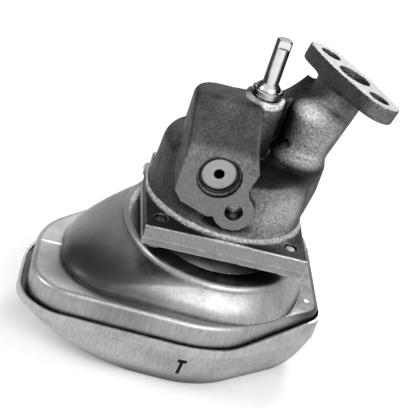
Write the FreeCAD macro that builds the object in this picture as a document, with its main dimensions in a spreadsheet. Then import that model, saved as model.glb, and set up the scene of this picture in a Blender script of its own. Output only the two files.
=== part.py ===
"""Engine oil pump with a rotor set, a relief valve, a bolted outlet and a stamped strainer pickup.

Frame: the origin is on the drive shaft's axis where it leaves the boss. +Z runs up the shaft,
+X is to the right and -Y is the side with the relief valve. Sizes are in millimetres.
Heights named in the sheet are measured from the top of the square body flange.
"""
import FreeCAD, Part
import math
import os
import re
import Sketcher
from FreeCAD import Placement, Rotation, Vector

SIZES = {
    # Square joint flange of the body and its cover
    "boss_top": 60.0,
    "spindle_foot": 67.0,
    "plate_edge": 7.5,
    "plate_edge_front": 11.0,
    "plate_edge_back": 10.0,
    "plate_notch_x": 34.0,
    "plate_notch_y": 8.0,
    "body_flange": 6.0,
    "cover_thickness": 3.5,
    "screw_span": 65.0,
    "screw_centre_x": 3.5,
    "screw_centre_y": 0.5,
    "screw_size": 6.0,
    "screw_play": 0.2,
    "edge_break": 0.8,
    "washer_lip": 0.6,
    "screw_head": 10.0,
    "screw_head_height": 4.0,
    "washer_thickness": 1.2,
    # Barrel over the rotors
    "eccentricity": 3.5,
    "barrel_radius": 37.5,
    "barrel_top": 29.0,
    "barrel_draft": 1.2,
    "barrel_crown": 5.0,
    "barrel_foot": 5.0,
    # Rotor set
    "rotor_radius": 31.0,
    "rotor_height": 21.0,
    "rotor_end_gap": 0.06,
    "rotor_side_gap": 0.06,
    "lobe_circle": 27.0,
    "lobe_radius": 9.0,
    "lobe_gap": 0.08,
    "port_depth": 5.0,
    # Drive shaft and its bushes
    "shaft_step": 0.6,
    "shaft_step_rise": 1.5,
    "shaft_relief": 0.6,
    "shaft_radius": 6.0,
    "shaft_fit": 0.03,
    "spindle_radius": 4.0,
    "spindle_top": 90.0,
    "spindle_chamfer": 0.8,
    "tang_height": 4.0,
    "tang_width": 5.6,
    "collar_radius": 7.6,
    "collar_height": 4.0,
    "collar_gap": 0.1,
    "bush_radius": 7.5,
    "bush_length": 12.0,
    "lower_bush_floor": 20.5,
    "upper_bush_depth": 1.0,
    "pin_radius": 2.0,
    "pin_length": 20.0,
    # Boss round the shaft
    "boss_radius": 9.8,
    "boss_floor": 18.0,
    "pad_reach": 9.0,
    "pad_radius": 10.4,
    "pad_floor": 51.0,
    "pad_top": 56.5,
    # Relief valve block
    "block_face": 42.0,
    "block_left": 35.5,
    "block_right": 1.5,
    "block_corner_rise": 6.0,
    "block_corner_in": 4.0,
    "block_corner_drop": 1.0,
    "block_chin_drop": 4.0,
    "block_neck_x": 2.0,
    "block_arm_x": 5.0,
    "block_arm_rise": 9.0,
    "block_waist_drop": 3.0,
    "block_waist_out": 0.5,
    "block_ear_in": 2.0,
    "block_ear_rise": 6.0,
    "block_flank_rise": 14.0,
    "block_slope_foot": 42.0,
    "block_slope_back": 14.0,
    "block_back": 3.0,
    "block_floor": 15.0,
    "block_edge": 3.0,
    "block_corner": 12.0,
    "relief_x": 17.3,
    "relief_height": 32.5,
    "relief_bore": 8.0,
    "relief_bore_end": 9.0,
    "relief_mouth": 10.6,
    "relief_mouth_depth": 2.2,
    "cap_radius": 9.0,
    "cap_thickness": 3.2,
    "cap_vent": 2.6,
    "cap_skirt": 5.0,
    "ring_wire": 0.8,
    "ring_fit": 0.02,
    "plunger_length": 14.0,
    "plunger_wall": 2.0,
    "plunger_fit": 0.04,
    "plunger_seat": 0.1,
    "spring_wire": 0.8,
    "spring_radius": 5.0,
    "spring_turns": 6.0,
    "feed_radius": 3.0,
    "feed_wall": 3.2,
    "feed_step": 0.6,
    "feed_x": 19.0,
    "feed_y": 10.0,
    "spill_radius": 2.5,
    "spill_y": 13.6,
    "stay_hole_x": 5.6,
    "stay_hole_height": 16.5,
    "stay_hole_radius": 4.25,
    "stay_hole_depth": 8.0,
    "stay_boss_radius": 10.0,
    # Outlet neck and flange
    "outlet_x": 42.1,
    "outlet_y": 14.8,
    "outlet_height": 75.0,
    "outlet_yaw": -60.0,
    "outlet_pitch": 2.5,
    "outlet_lean": -14.5,
    "outlet_half_span": 20.5,
    "outlet_hole": 5.25,
    "outlet_port": 8.5,
    "outlet_port_depth": 14.0,
    "outlet_ear": 11.5,
    "outlet_middle": 14.0,
    "outlet_thickness": 8.5,
    "neck_x": 26.0,
    "neck_y": 5.0,
    "neck_foot": 28.0,
    "neck_foot_radius": 11.5,
    "neck_head_radius": 13.5,
    "neck_shift": 2.5,
    "passage_radius": 7.0,
    "chamber_radius": 15.5,
    "chamber_x": 25.0,
    "chamber_y": 3.0,
    "chamber_top": 36.0,
    "chamber_crown": 7.0,
    "web_thickness": 8.0,
    "web_drop": 3.0,
    "web_bend": 0.42,
    "web_turn": 0.8,
    "web_lift": 0.28,
    "web_under": 14.0,
    "port_start": 22.0,
    "port_end": 152.0,
    "port_inner_margin": 1.5,
    "port_outer_margin": 2.0,
    "passage_rise": 3.0,
    "plug_radius": 2.4,
    "plug_depth": 3.0,
    "plug_wall": 1.6,
    "plug_boss_length": 8.0,
    "plug_x": 17.0,
    "plug_y": -1.5,
    "plug_height": 38.0,
    # Suction sleeve between the cover and the pickup
    "suction_x": 3.5,
    "suction_y": 16.0,
    "sleeve_bore": 8.0,
    "sleeve_wall": 1.2,
    "sleeve_lip": 3.0,
    "gasket_thickness": 0.8,
    "crown_radius": 29.0,
    # Stamped pickup hood
    "sheet": 1.5,
    "lip_radius": 47.0,
    "lip_x": 3.5,
    "lip_y": 3.0,
    "lip_drop": 20.0,
    "lip_round": 3.0,
    "lip_step": 0.4,
    "hood_foot": 36.0,
    "flange_round": 2.5,
    "crown_flare": 9.0,
    "lip_tilt": 6.0,
    "dimple_radius": 6.6,
    "dimple_drop": 16.0,
    "bell_sweep": 48.0,
    "bell_radius": 53.5,
    "bell_side": 50.0,
    "inset_back": 8.0,
    "inset_left": 12.5,
    "bell_round_left": 27.0,
    "bell_round_front": 48.0,
    "bell_round_right": 40.0,
    "bell_round_back": 36.0,
    "skirt_foot": 51.0,
    # Strainer pan
    "rim_front_left_x": -91.0,
    "rim_front_left_out": 0.5,
    "rim_front_x": 4.0,
    "rim_front_out": 7.5,
    "rim_front_right_out": 7.0,
    "rim_front_right_back": 29.5,
    "rim_back_right_out": 8.0,
    "rim_back_right_y": 60.0,
    "rim_back_x": -10.0,
    "rim_back_y": 80.0,
    "rim_left_x": -88.0,
    "rim_left_y": -2.0,
    "rim_front_left_round": 20.0,
    "rim_front_round": 55.0,
    "rim_front_right_round": 14.0,
    "rim_back_right_round": 30.0,
    "rim_back_round": 60.0,
    "rim_left_round": 45.0,
    "pan_gap": 1.4,
    "pan_gap_left": 3.0,
    "pan_sheet": 1.2,
    "rim_height": 3.0,
    "rim_raise": 8.0,
    "beyond": 120.0,
    "raise_start": 12.0,
    "raise_end": 52.0,
    "pan_floor": 76.0,
    "pan_belly": 64.0,
    "pan_fullness": 0.66,
    "pan_round": 2.5,
    "pan_corner": 22.0,
    "pan_inset": 7.0,
    "pan_inset_left": 42.0,
    "pan_inset_back": 14.0,
    "ledge": 4.0,
    "intake_inset": 20.0,
    "slot_x": 10.0,
    "slot_top": 56.0,
    "slot_height": 11.0,
    "slot_head": 4.6,
    "slot_stem": 1.8,
    # Gauze screen and its frame
    "screen_gap": 0.3,
    "frame_thickness": 1.2,
    "frame_width": 6.0,
    "bar_width": 5.0,
    "bar_pitch": 34.0,
    "bar_middle": 12.5,
    "seat_play": 0.02,
    "gauze_thickness": 0.6,
}

ALIAS = re.compile(r"\b([a-z][a-z0-9_]+)\b(?!\()")


def bound(expression):
    """Expression over the names of the sheet, as the document writes it."""
    return ALIAS.sub(r"Sizes.\1", str(expression))


def make_sheet(doc):
    """Spreadsheet with one named cell for each driving dimension."""
    sheet = doc.addObject("Spreadsheet::Sheet", "Sizes")
    for row, (name, size) in enumerate(SIZES.items(), start=1):
        sheet.set(f"A{row}", name)
        sheet.set(f"B{row}", str(size))
        sheet.setAlias(f"B{row}", name)
    doc.recompute()
    return sheet


def set_sizes(item, **properties):
    """Bind properties of an object to expressions over the sheet."""
    for name, expression in properties.items():
        item.setExpression(name.replace("__", "."), bound(expression))


def place(item, x=0, y=0, z=0):
    """Bind an object's place to expressions over the sheet."""
    set_sizes(item, Placement__Base__x=x, Placement__Base__y=y, Placement__Base__z=z)


def new_body(doc, name, x=0, y=0, z=0):
    """Body for one form or one piece, at a place given by expressions."""
    body = doc.addObject("PartDesign::Body", name)
    place(body, x, y, z)
    return body


def sketch_on(body, role, name, offset="0"):
    """Sketch on one of the body's origin planes, moved along the plane's normal."""
    sketch = body.newObject("Sketcher::SketchObject", name)
    datum = next(item for item in body.Origin.OriginFeatures if item.Role == role)
    sketch.AttachmentSupport = [(datum, "")]
    sketch.MapMode = "FlatFace"
    set_sizes(sketch, AttachmentOffset__Base__z=offset)
    return sketch


def pin_down(sketch, kind, geometry, point, expression):
    """Distance of a sketch point from the sketch's origin, along X or Y."""
    start = 1.0 if kind == "DistanceX" else 2.0
    index = sketch.addConstraint(Sketcher.Constraint(kind, -1, 1, geometry, point, start))
    sketch.setExpression(f"Constraints[{index}]", bound(expression))


def draw_polygon(sketch, corners):
    """Closed outline through corners, each given by a pair of expressions."""
    count = len(corners)
    turns = [2 * math.pi * number / count for number in range(count)]
    start = [Vector(10 * math.cos(turn), 10 * math.sin(turn), 0) for turn in turns]
    first = sketch.GeometryCount
    for number in range(count):
        sketch.addGeometry(Part.LineSegment(start[number], start[(number + 1) % count]), False)
    for number in range(count):
        follower = first + (number + 1) % count
        sketch.addConstraint(Sketcher.Constraint("Coincident", first + number, 2, follower, 1))
    for number, (x, y) in enumerate(corners):
        pin_down(sketch, "DistanceX", first + number, 1, x)
        pin_down(sketch, "DistanceY", first + number, 1, y)


def draw_circle(sketch, radius, x="0", y="0"):
    """Circle with its radius and centre given by expressions."""
    index = sketch.addGeometry(Part.Circle(Vector(1, 2, 0), Vector(0, 0, 1), 5), False)
    pin_down(sketch, "DistanceX", index, 3, x)
    pin_down(sketch, "DistanceY", index, 3, y)
    constraint = sketch.addConstraint(Sketcher.Constraint("Radius", index, 5))
    sketch.setExpression(f"Constraints[{constraint}]", bound(radius))


def pad(body, sketch, length, reverse=False):
    """Pad a sketch by a length given by an expression."""
    feature = body.newObject("PartDesign::Pad", f"{sketch.Name}_pad")
    feature.Profile = sketch
    feature.Reversed = reverse
    set_sizes(feature, Length=length)
    return feature


def pocket(body, sketch, length, reverse=False):
    """Pocket a sketch to a depth given by an expression."""
    feature = body.newObject("PartDesign::Pocket", f"{sketch.Name}_pocket")
    feature.Profile = sketch
    feature.Reversed = reverse
    set_sizes(feature, Length=length)
    return feature


def revolve(body, sketch):
    """Revolve a profile once round the sketch's vertical axis."""
    feature = body.newObject("PartDesign::Revolution", f"{sketch.Name}_turned")
    feature.Profile = sketch
    feature.ReferenceAxis = (sketch, ["V_Axis"])
    feature.Angle = 360
    return feature


def round_edges(doc, body, name, radius, chosen):
    """Fillet the edges of the body's last feature that a test picks."""
    doc.recompute()
    base = body.Tip
    picked = [f"Edge{number}" for number, edge in enumerate(base.Shape.Edges, start=1) if chosen(edge)]
    feature = body.newObject("PartDesign::Fillet", name)
    feature.Base = (base, picked)
    set_sizes(feature, Radius=radius)
    return feature


def turned(doc, name, profile, x=0, y=0, z=0):
    """Turned piece: a closed profile of (radius, height) pairs revolved round its own axis."""
    body = new_body(doc, name, x, y, z)
    sketch = sketch_on(body, "XZ_Plane", f"{name}_profile")
    draw_polygon(sketch, profile)
    revolve(body, sketch)
    return body


def upright(edge):
    """True for a straight edge along Z."""
    direction = edge.lastVertex().Point - edge.firstVertex().Point
    straight = isinstance(edge.Curve, Part.Line)
    return straight and abs(direction.normalize().z) > 0.999


def cylinder(doc, name, radius, height, x=0, y=0, z=0, turn=None):
    """Part cylinder with bound sizes; turn lays it over from Z."""
    item = doc.addObject("Part::Cylinder", name)
    set_sizes(item, Radius=radius, Height=height)
    if turn is not None:
        item.Placement = Placement(Vector(), turn)
    place(item, x, y, z)
    return item


def joined(doc, name, pieces):
    """Union of several objects."""
    item = doc.addObject("Part::MultiFuse", name)
    item.Shapes = pieces
    return item


def cut_away(doc, name, solid, tools):
    """Solid less the union of the tools."""
    item = doc.addObject("Part::Cut", name)
    item.Base = solid
    item.Tool = joined(doc, f"{name}_tools", tools) if len(tools) > 1 else tools[0]
    return item


# Length by which a cutting tool runs past the face that it opens
OVERCUT = 1.0
ALONG_Y = Rotation(Vector(1, 0, 0), -90)
ALONG_X = Rotation(Vector(0, 1, 0), 90)


def flange_plate(doc, name, thickness, top):
    """Square joint flange with its slanted back left side."""
    body = new_body(doc, name, z=f"{top} - spindle_foot")
    sketch = sketch_on(body, "XY_Plane", f"{name}_outline")
    left = "-(screw_span / 2 + screw_centre_x + plate_edge)"
    right = "screw_span / 2 - screw_centre_x + plate_edge"
    front = "-(screw_span / 2 + screw_centre_y + plate_edge_front)"
    back = "screw_span / 2 - screw_centre_y + plate_edge_back"
    draw_polygon(sketch, [
        (left, front),
        (right, front),
        (right, back),
        ("-plate_notch_x", back),
        (left, "plate_notch_y"),
    ])
    pad(body, sketch, thickness, reverse=True)
    return body


def screw_places():
    """Centres of the four cover screws, as expressions."""
    signs = [(-1, -1), (1, -1), (1, 1), (-1, 1)]
    return [(f"-screw_centre_x + {a} * screw_span / 2", f"-screw_centre_y + {b} * screw_span / 2")
            for a, b in signs]


def barrel(doc):
    """Round rotor chamber with cast draft, a crowned shoulder and a flared foot."""
    foot = "barrel_radius + barrel_draft"
    body = new_body(doc, "barrel", x="-eccentricity", z="-spindle_foot")
    sketch = sketch_on(body, "XZ_Plane", "barrel_profile")
    draw_polygon(sketch, [
        ("0", "-body_flange / 2"),
        (f"{foot} + barrel_foot", "-body_flange / 2"),
        (f"{foot} + barrel_foot", "0.02"),
        (f"{foot} + barrel_foot * 0.32", "barrel_foot * 0.25"),
        (foot, "barrel_foot"),
        ("barrel_radius", "barrel_top"),
        ("0", "barrel_top"),
    ])
    revolve(body, sketch)

    def shoulder(edge):
        return edge.BoundBox.ZMin > 0.9 * SIZES["barrel_top"] and edge.BoundBox.XLength > 1

    round_edges(doc, body, "barrel_shoulder", "barrel_crown", shoulder)
    limit = flange_plate(doc, "barrel_limit", "barrel_top + body_flange", "barrel_top")
    trimmed = doc.addObject("Part::Common", "trimmed_barrel")
    trimmed.Base = body
    trimmed.Tool = limit
    return trimmed


def boss(doc):
    """Round boss that carries the drive shaft, and the machined pad beside it."""
    post = cylinder(doc, "boss_post", "boss_radius", "boss_top - boss_floor", z="boss_floor - spindle_foot")
    height = "pad_top - pad_floor"
    near = cylinder(doc, "pad_near", "pad_radius", height, z="pad_floor - spindle_foot")
    far = cylinder(doc, "pad_far", "pad_radius", height, x="-pad_reach", z="pad_floor - spindle_foot")
    bar = doc.addObject("Part::Box", "pad_bar")
    set_sizes(bar, Length="pad_reach", Width="2 * pad_radius", Height=height)
    place(bar, x="-pad_reach", y="-pad_radius", z="pad_floor - spindle_foot")
    return [post, near, far, bar]


def feed_boss(doc):
    """Cast boss over the drillings that feed the relief valve from the outlet port."""
    wall = "feed_radius + feed_wall"
    rise = cylinder(doc, "feed_rise", wall, "relief_height - boss_floor",
                    x="-feed_x", y="feed_y", z="boss_floor - spindle_foot")
    run = cylinder(doc, "feed_run", f"{wall} + feed_step", f"feed_y + {wall} + feed_step",
                   x="-feed_x", z="relief_height - spindle_foot", turn=ALONG_Y)
    return [rise, run]


def relief_block(doc):
    """Block over the relief valve: a flat machined face below, leaning back to the boss above."""
    body = new_body(doc, "relief_block", z="-spindle_foot")
    front = sketch_on(body, "XZ_Plane", "block_outline", offset="block_face")
    draw_polygon(front, [
        ("-block_left", "boss_top"),
        ("-block_left", "block_floor + block_corner_rise"),
        ("-block_left + block_corner_in", "block_floor + block_corner_drop"),
        ("-relief_x", "block_floor - block_chin_drop"),
        ("-stay_hole_x - block_neck_x", "stay_hole_height - block_neck_x"),
        ("-stay_hole_x + block_arm_x", "stay_hole_height"),
        ("-block_right + block_waist_out * 2", "stay_hole_height + block_arm_rise"),
        ("-block_right - block_waist_out", "relief_height - block_waist_drop"),
        ("-block_right + block_ear_in", "relief_height + block_ear_rise"),
        ("-block_right", "relief_height + block_flank_rise"),
        ("-block_right", "boss_top"),
    ])
    pad(body, front, "block_face + block_back", reverse=True)
    side = sketch_on(body, "YZ_Plane", "block_slope", offset="-block_left - 1")
    draw_polygon(side, [
        ("-block_face - 1", "block_slope_foot"),
        ("-block_face", "block_slope_foot"),
        ("-block_slope_back", "boss_top"),
        ("-block_slope_back", "boss_top + 1"),
        ("-block_face - 1", "boss_top + 1"),
    ])
    pocket(body, side, "2 * block_left", reverse=True)
    return body


def relief_block_rounding(doc, body):
    """Cast rounding of the relief block's top, back corner and slanted front."""
    def back_corner(edge):
        box = edge.BoundBox
        return upright(edge) and box.XMax < 1 - SIZES["block_left"] and box.YMin > 0

    def front_brow(edge):
        box = edge.BoundBox
        across = box.XLength > 5 and box.YLength < 0.1 and box.ZLength < 0.1
        return across and abs(box.ZMin - SIZES["block_slope_foot"]) < 0.1 and box.YMax < 0

    def top_rim(edge):
        box = edge.BoundBox
        return box.ZMin > SIZES["boss_top"] - 0.1 and box.YMin < SIZES["block_back"] - 0.5

    round_edges(doc, body, "block_back_corner", "block_corner", back_corner)
    round_edges(doc, body, "block_brow", "block_corner", front_brow)
    round_edges(doc, body, "block_top_rim", "block_edge", top_rim)


def sizes_of(doc):
    """The sheet's values by name, for the forms that only code can draw."""
    return {name: float(getattr(doc.Sizes, name)) for name in SIZES}


def outlet_frame(size):
    """Place of the outlet face: its origin in the port, Z out of the face, X along the bolts."""
    centre = Vector(size["outlet_x"], size["outlet_y"], size["outlet_height"] - size["spindle_foot"])
    return Placement(centre, Rotation(size["outlet_yaw"], size["outlet_pitch"], size["outlet_lean"]))


def shaped(doc, name, shape):
    """Object that holds a shape drawn in code."""
    item = doc.addObject("Part::Feature", name)
    item.Shape = shape.Solids[0] if len(shape.Solids) == 1 else shape
    return item


def outlet_flange(doc, size):
    """Two-bolt outlet flange: a rhombus with rounded ears, set at its lean."""
    body = doc.addObject("PartDesign::Body", "outlet_flange")
    body.Placement = outlet_frame(size)
    sketch = sketch_on(body, "XY_Plane", "outlet_outline")
    spread = "outlet_middle - outlet_ear"
    reach = f"outlet_middle * outlet_half_span / ({spread})"
    depth = f"outlet_middle / sqrt(1 - (({spread}) / outlet_half_span) ^ 2)"
    draw_polygon(sketch, [(reach, "0"), ("0", depth), (f"-({reach})", "0"), ("0", f"-({depth})")])
    pad(body, sketch, "outlet_thickness", reverse=True)
    doc.recompute()
    limit = 1.5 * size["outlet_half_span"]

    def along_face(edge):
        first, last = edge.firstVertex().Point, edge.lastVertex().Point
        return abs(first.z - last.z) > 0.5 * size["outlet_thickness"]

    def ear(edge):
        return along_face(edge) and abs(edge.firstVertex().Point.x) > limit

    def middle(edge):
        return along_face(edge) and abs(edge.firstVertex().Point.x) < 1

    round_edges(doc, body, "outlet_middle_round", "outlet_middle", middle)
    round_edges(doc, body, "outlet_ear_round", "outlet_ear", ear)
    return body


def neck_forms(doc, size):
    """Outlet chamber over the barrel, the tapered neck above it and the web to the boss."""
    drop = size["spindle_foot"]
    frame = outlet_frame(size)
    normal = frame.Rotation.multVec(Vector(0, 0, 1))
    foot = Vector(size["neck_x"], size["neck_y"], size["neck_foot"] - drop)
    along = frame.Rotation.multVec(Vector(1, 0, 0))
    head = frame.Base - normal * (size["outlet_thickness"] * 0.8) - along * size["neck_shift"]
    rise = (head - foot).normalize()
    start = Part.Wire(Part.makeCircle(size["neck_foot_radius"], foot - rise * 4, rise))
    end = Part.Wire(Part.makeCircle(size["neck_head_radius"], head, normal))
    neck = shaped(doc, "outlet_neck", Part.makeLoft([start, end], True, True))
    chamber = new_body(doc, "outlet_chamber", "chamber_x", "chamber_y", "-spindle_foot")
    profile = sketch_on(chamber, "XZ_Plane", "chamber_profile")
    draw_polygon(profile, [
        ("0", "2"), ("chamber_radius - 2", "2"), ("chamber_radius", "barrel_top - 12"),
        ("chamber_radius", "chamber_top"), ("0", "chamber_top"),
    ])
    revolve(chamber, profile)

    def crown(edge):
        return edge.BoundBox.ZMin > size["chamber_top"] - 1 and edge.BoundBox.XLength > 1

    round_edges(doc, chamber, "chamber_round", "chamber_crown", crown)
    return [neck, chamber, web(doc, size)]


def web(doc, size):
    """Curved web from the boss up to the back ear of the outlet flange."""
    drop = size["spindle_foot"]
    frame = outlet_frame(size)
    ear = frame.multVec(Vector(-size["outlet_half_span"], 0, -size["outlet_thickness"] * 0.6))
    along = Vector(ear.x, ear.y, 0)
    reach = along.Length
    along.normalize()
    across = Vector(-along.y, along.x, 0)
    half = size["web_thickness"] / 2

    def point(distance, height):
        return along * distance + Vector(0, 0, height) - across * half

    boss_top = size["boss_top"] - drop
    rising = [
        point(0, boss_top - size["web_drop"]),
        point(reach * size["web_bend"], boss_top - size["web_drop"] + 1),
        point(reach * size["web_turn"], boss_top + (ear.z - boss_top) * size["web_lift"]),
        point(reach, ear.z),
    ]
    curve = Part.BSplineCurve()
    curve.interpolate(rising)
    lower = [rising[-1] + along * 6, point(reach * 0.72, boss_top - size["web_under"]),
             point(reach * 0.3, size["barrel_top"] - drop), point(0, size["barrel_top"] - drop)]
    edges = [curve.toShape()]
    corners = [rising[-1]] + lower + [rising[0]]
    edges += [Part.makeLine(a, b) for a, b in zip(corners[:-1], corners[1:])]
    face = Part.Face(Part.Wire(edges))
    return shaped(doc, "outlet_web", face.extrude(across * size["web_thickness"]))


def kidney(centre, inner, outer, start, end, floor, height):
    """Curved port cut between two radii and two angles, in degrees."""
    middle = (inner + outer) / 2
    half = (outer - inner) / 2

    def at(radius, angle):
        turn = math.radians(angle)
        return centre + Vector(radius * math.cos(turn), radius * math.sin(turn), floor)

    ring = [
        Part.Arc(at(outer, start), at(outer, (start + end) / 2), at(outer, end)).toShape(),
        Part.makeLine(at(outer, end), at(inner, end)),
        Part.Arc(at(inner, end), at(inner, (start + end) / 2), at(inner, start)).toShape(),
        Part.makeLine(at(inner, start), at(outer, start)),
    ]
    solid = Part.Face(Part.Wire(ring)).extrude(Vector(0, 0, height))
    for angle in (start, end):
        solid = solid.fuse(Part.makeCylinder(half, height, at(middle, angle)))
    return solid


def port_voids(doc, size):
    """Inlet and outlet kidneys over the rotors, the outlet passage and the flange's holes."""
    drop = size["spindle_foot"]
    centre = Vector(-size["eccentricity"], 0, 0)
    ceiling = size["rotor_height"] - size["body_flange"] - drop
    inner = size["lobe_circle"] - size["lobe_radius"] - size["eccentricity"] + size["port_inner_margin"]
    outer = size["lobe_circle"] - size["lobe_radius"] + size["eccentricity"] + size["port_outer_margin"]
    start, end = size["port_start"], size["port_end"]
    outlet = kidney(centre, inner, outer, start, end, ceiling - OVERCUT, size["port_depth"] + OVERCUT)
    inlet = kidney(centre, inner, outer, -end, -start, ceiling - OVERCUT, size["port_depth"] + OVERCUT)
    frame = outlet_frame(size)
    normal = frame.Rotation.multVec(Vector(0, 0, 1))
    depth = size["outlet_port_depth"]
    port = Part.makeCylinder(size["outlet_port"], depth + 1, frame.Base - normal * depth, normal)
    low = Vector(size["chamber_x"] - 2, size["chamber_y"] + 1, ceiling + size["passage_rise"])
    knee = frame.Base - normal * (depth - 1)
    rise = knee - low
    passage = Part.makeCylinder(size["passage_radius"], rise.Length, low, rise)
    sump = Part.makeSphere(size["passage_radius"], low)
    voids = [outlet, inlet, port, passage, sump]
    for side in (-1, 1):
        start = frame.multVec(Vector(side * size["outlet_half_span"], 0, -size["outlet_thickness"] - 8))
        voids.append(Part.makeCylinder(size["outlet_hole"], size["outlet_thickness"] + 9, start, normal))
    names = ["outlet_kidney", "inlet_kidney", "outlet_port", "outlet_passage", "outlet_sump",
             "outlet_hole_back", "outlet_hole_front"]
    return [shaped(doc, name, void) for name, void in zip(names, voids)]


def pump_body(doc, size):
    """Cast iron body: flange, barrel, boss, relief block, outlet neck and flange, and its bores."""
    block = relief_block(doc)
    relief_block_rounding(doc, block)
    stay_height = "stay_hole_height - spindle_foot"
    stay_boss = cylinder(doc, "stay_boss", "stay_boss_radius", "block_face - 25",
                         x="-stay_hole_x", y="-block_face", z=stay_height, turn=ALONG_Y)
    forms = [flange_plate(doc, "body_plate", "body_flange", "0"), barrel(doc), block, stay_boss]
    forms += boss(doc) + feed_boss(doc)
    forms += neck_forms(doc, size) + [outlet_flange(doc, size), plug_boss(doc, size)]
    casting = joined(doc, "casting", forms)
    relief_height = "relief_height - spindle_foot"
    cap_floor = "relief_mouth_depth + ring_wire * 2 + cap_thickness + cap_skirt"
    voids = [
        cylinder(doc, "rotor_pocket", "rotor_radius", "rotor_height + 1",
                 x="-eccentricity", z="-body_flange - spindle_foot - 1"),
        cylinder(doc, "bush_bore", "bush_radius", "boss_top - lower_bush_floor + 1",
                 z="lower_bush_floor - spindle_foot"),
        cylinder(doc, "shaft_bore", "shaft_radius + shaft_relief", "boss_top", z="-spindle_foot"),
        cylinder(doc, "relief_bore", "relief_bore", "block_face - relief_bore_end",
                 x="-relief_x", y="-block_face", z=relief_height, turn=ALONG_Y),
        cylinder(doc, "cap_bore", "cap_radius + 0.05", cap_floor,
                 x="-relief_x", y="-block_face", z=relief_height, turn=ALONG_Y),
        cylinder(doc, "relief_mouth", "relief_mouth", "relief_mouth_depth",
                 x="-relief_x", y="-block_face - 0.01", z=relief_height, turn=ALONG_Y),
        wire_ring(doc, "ring_groove", "ring_wire + ring_fit"),
        cylinder(doc, "feed_across", "feed_radius", "relief_bore_end + feed_y + 1",
                 x="-feed_x", y="-relief_bore_end - 1", z=relief_height, turn=ALONG_Y),
        cylinder(doc, "feed_down", "feed_radius", "relief_height - rotor_height + body_flange",
                 x="-feed_x", y="feed_y", z="rotor_height - body_flange - spindle_foot"),
        cylinder(doc, "spill_hole", "spill_radius", "block_left - relief_x",
                 x="-block_left - 1", y="-spill_y", z=relief_height, turn=ALONG_X),
        cylinder(doc, "stay_hole", "stay_hole_radius", "stay_hole_depth + 1",
                 x="-stay_hole_x", y="-block_face - 1", z=stay_height, turn=ALONG_Y),
    ]
    for number, (x, y) in enumerate(screw_places(), start=1):
        hole = cylinder(doc, f"body_screw_hole_{number}", "screw_size / 2 + screw_play", "body_flange + 2",
                        x=x, y=y, z="-body_flange - spindle_foot - 1")
        voids.append(hole)
    start, aim = plug_seat(size)
    drilling = Part.makeCylinder(size["plug_radius"], size["plug_depth"], start, aim)
    drilling = drilling.fuse(Part.makeCylinder(size["plug_radius"] - size["edge_break"], 10, start, aim))
    voids.append(shaped(doc, "plug_drilling", drilling))
    return cut_away(doc, "pump_body", casting, voids + port_voids(doc, size))


def cover_plate(doc):
    """Flat steel cover under the rotors, with the suction hole and the screw holes."""
    plate = flange_plate(doc, "cover_blank", "cover_thickness", "-body_flange")
    floor = "-body_flange - cover_thickness - spindle_foot - 1"
    depth = "cover_thickness + 2"
    holes = [cylinder(doc, "suction_hole", "sleeve_bore + sleeve_wall", depth,
                      x="-suction_x", y="-suction_y", z=floor)]
    for number, (x, y) in enumerate(screw_places(), start=1):
        holes.append(cylinder(doc, f"cover_screw_hole_{number}", "screw_size / 2 + screw_play", depth,
                              x=x, y=y, z=floor))
    return cut_away(doc, "cover_plate", plate, holes)


def at_screws(doc, name, profile):
    """Four separate turned pieces, one at each cover screw, in one node."""
    copies = [turned(doc, f"{name}_{number}", profile, x, y, "-spindle_foot")
              for number, (x, y) in enumerate(screw_places(), start=1)]
    group = doc.addObject("Part::Compound", name)
    group.Links = copies
    return group


def cover_screws(doc):
    """Hex-flanged cover screws, driven up from below through the cover into the body."""
    seat = "-body_flange - cover_thickness - washer_thickness"
    return at_screws(doc, "cover_screws", [
        ("0", "-edge_break"),
        ("screw_size / 2 - edge_break", "-edge_break"),
        ("screw_size / 2", "-2 * edge_break"),
        ("screw_size / 2", seat),
        ("screw_head / 2", seat),
        ("screw_head / 2", f"{seat} - screw_head_height + edge_break"),
        ("screw_head / 2 - edge_break", f"{seat} - screw_head_height"),
        ("0", f"{seat} - screw_head_height"),
    ])


def screw_washers(doc):
    """Spring washers under the heads of the cover screws."""
    seat = "-body_flange - cover_thickness"
    return at_screws(doc, "screw_washers", [
        ("screw_size / 2 + screw_play", seat),
        ("screw_head / 2 + washer_lip", seat),
        ("screw_head / 2 + washer_lip", f"{seat} - washer_thickness"),
        ("screw_size / 2 + screw_play", f"{seat} - washer_thickness"),
    ])


def drive_shaft(doc):
    """Drive shaft: thick journal in the bushes, slim spindle above, tang on its end."""
    floor = "-body_flange + rotor_end_gap"
    collar_top = "boss_top + collar_gap + collar_height"
    body = turned(doc, "drive_shaft", [
        ("0", floor),
        ("shaft_radius", floor),
        ("shaft_radius", collar_top),
        ("shaft_radius - shaft_step", f"{collar_top} + shaft_step_rise"),
        ("spindle_radius", "spindle_foot"),
        ("spindle_radius", "spindle_top - spindle_chamfer"),
        ("spindle_radius - spindle_chamfer", "spindle_top"),
        ("0", "spindle_top"),
    ], z="-spindle_foot")
    for side, reverse in (("front", False), ("back", True)):
        sign = "" if side == "front" else "-"
        sketch = sketch_on(body, "XZ_Plane", f"tang_{side}", offset=f"{sign}tang_width / 2")
        draw_polygon(sketch, [
            ("-spindle_radius - 1", "spindle_top - tang_height"),
            ("spindle_radius + 1", "spindle_top - tang_height"),
            ("spindle_radius + 1", "spindle_top + 1"),
            ("-spindle_radius - 1", "spindle_top + 1"),
        ])
        pocket(body, sketch, "spindle_radius", reverse=not reverse)
    hole = sketch_on(body, "XZ_Plane", "pin_hole", offset="-shaft_radius - 1")
    draw_circle(hole, "pin_radius", "0", "rotor_height / 2 - body_flange")
    pocket(body, hole, "2 * shaft_radius + 2", reverse=True)
    return body


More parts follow.
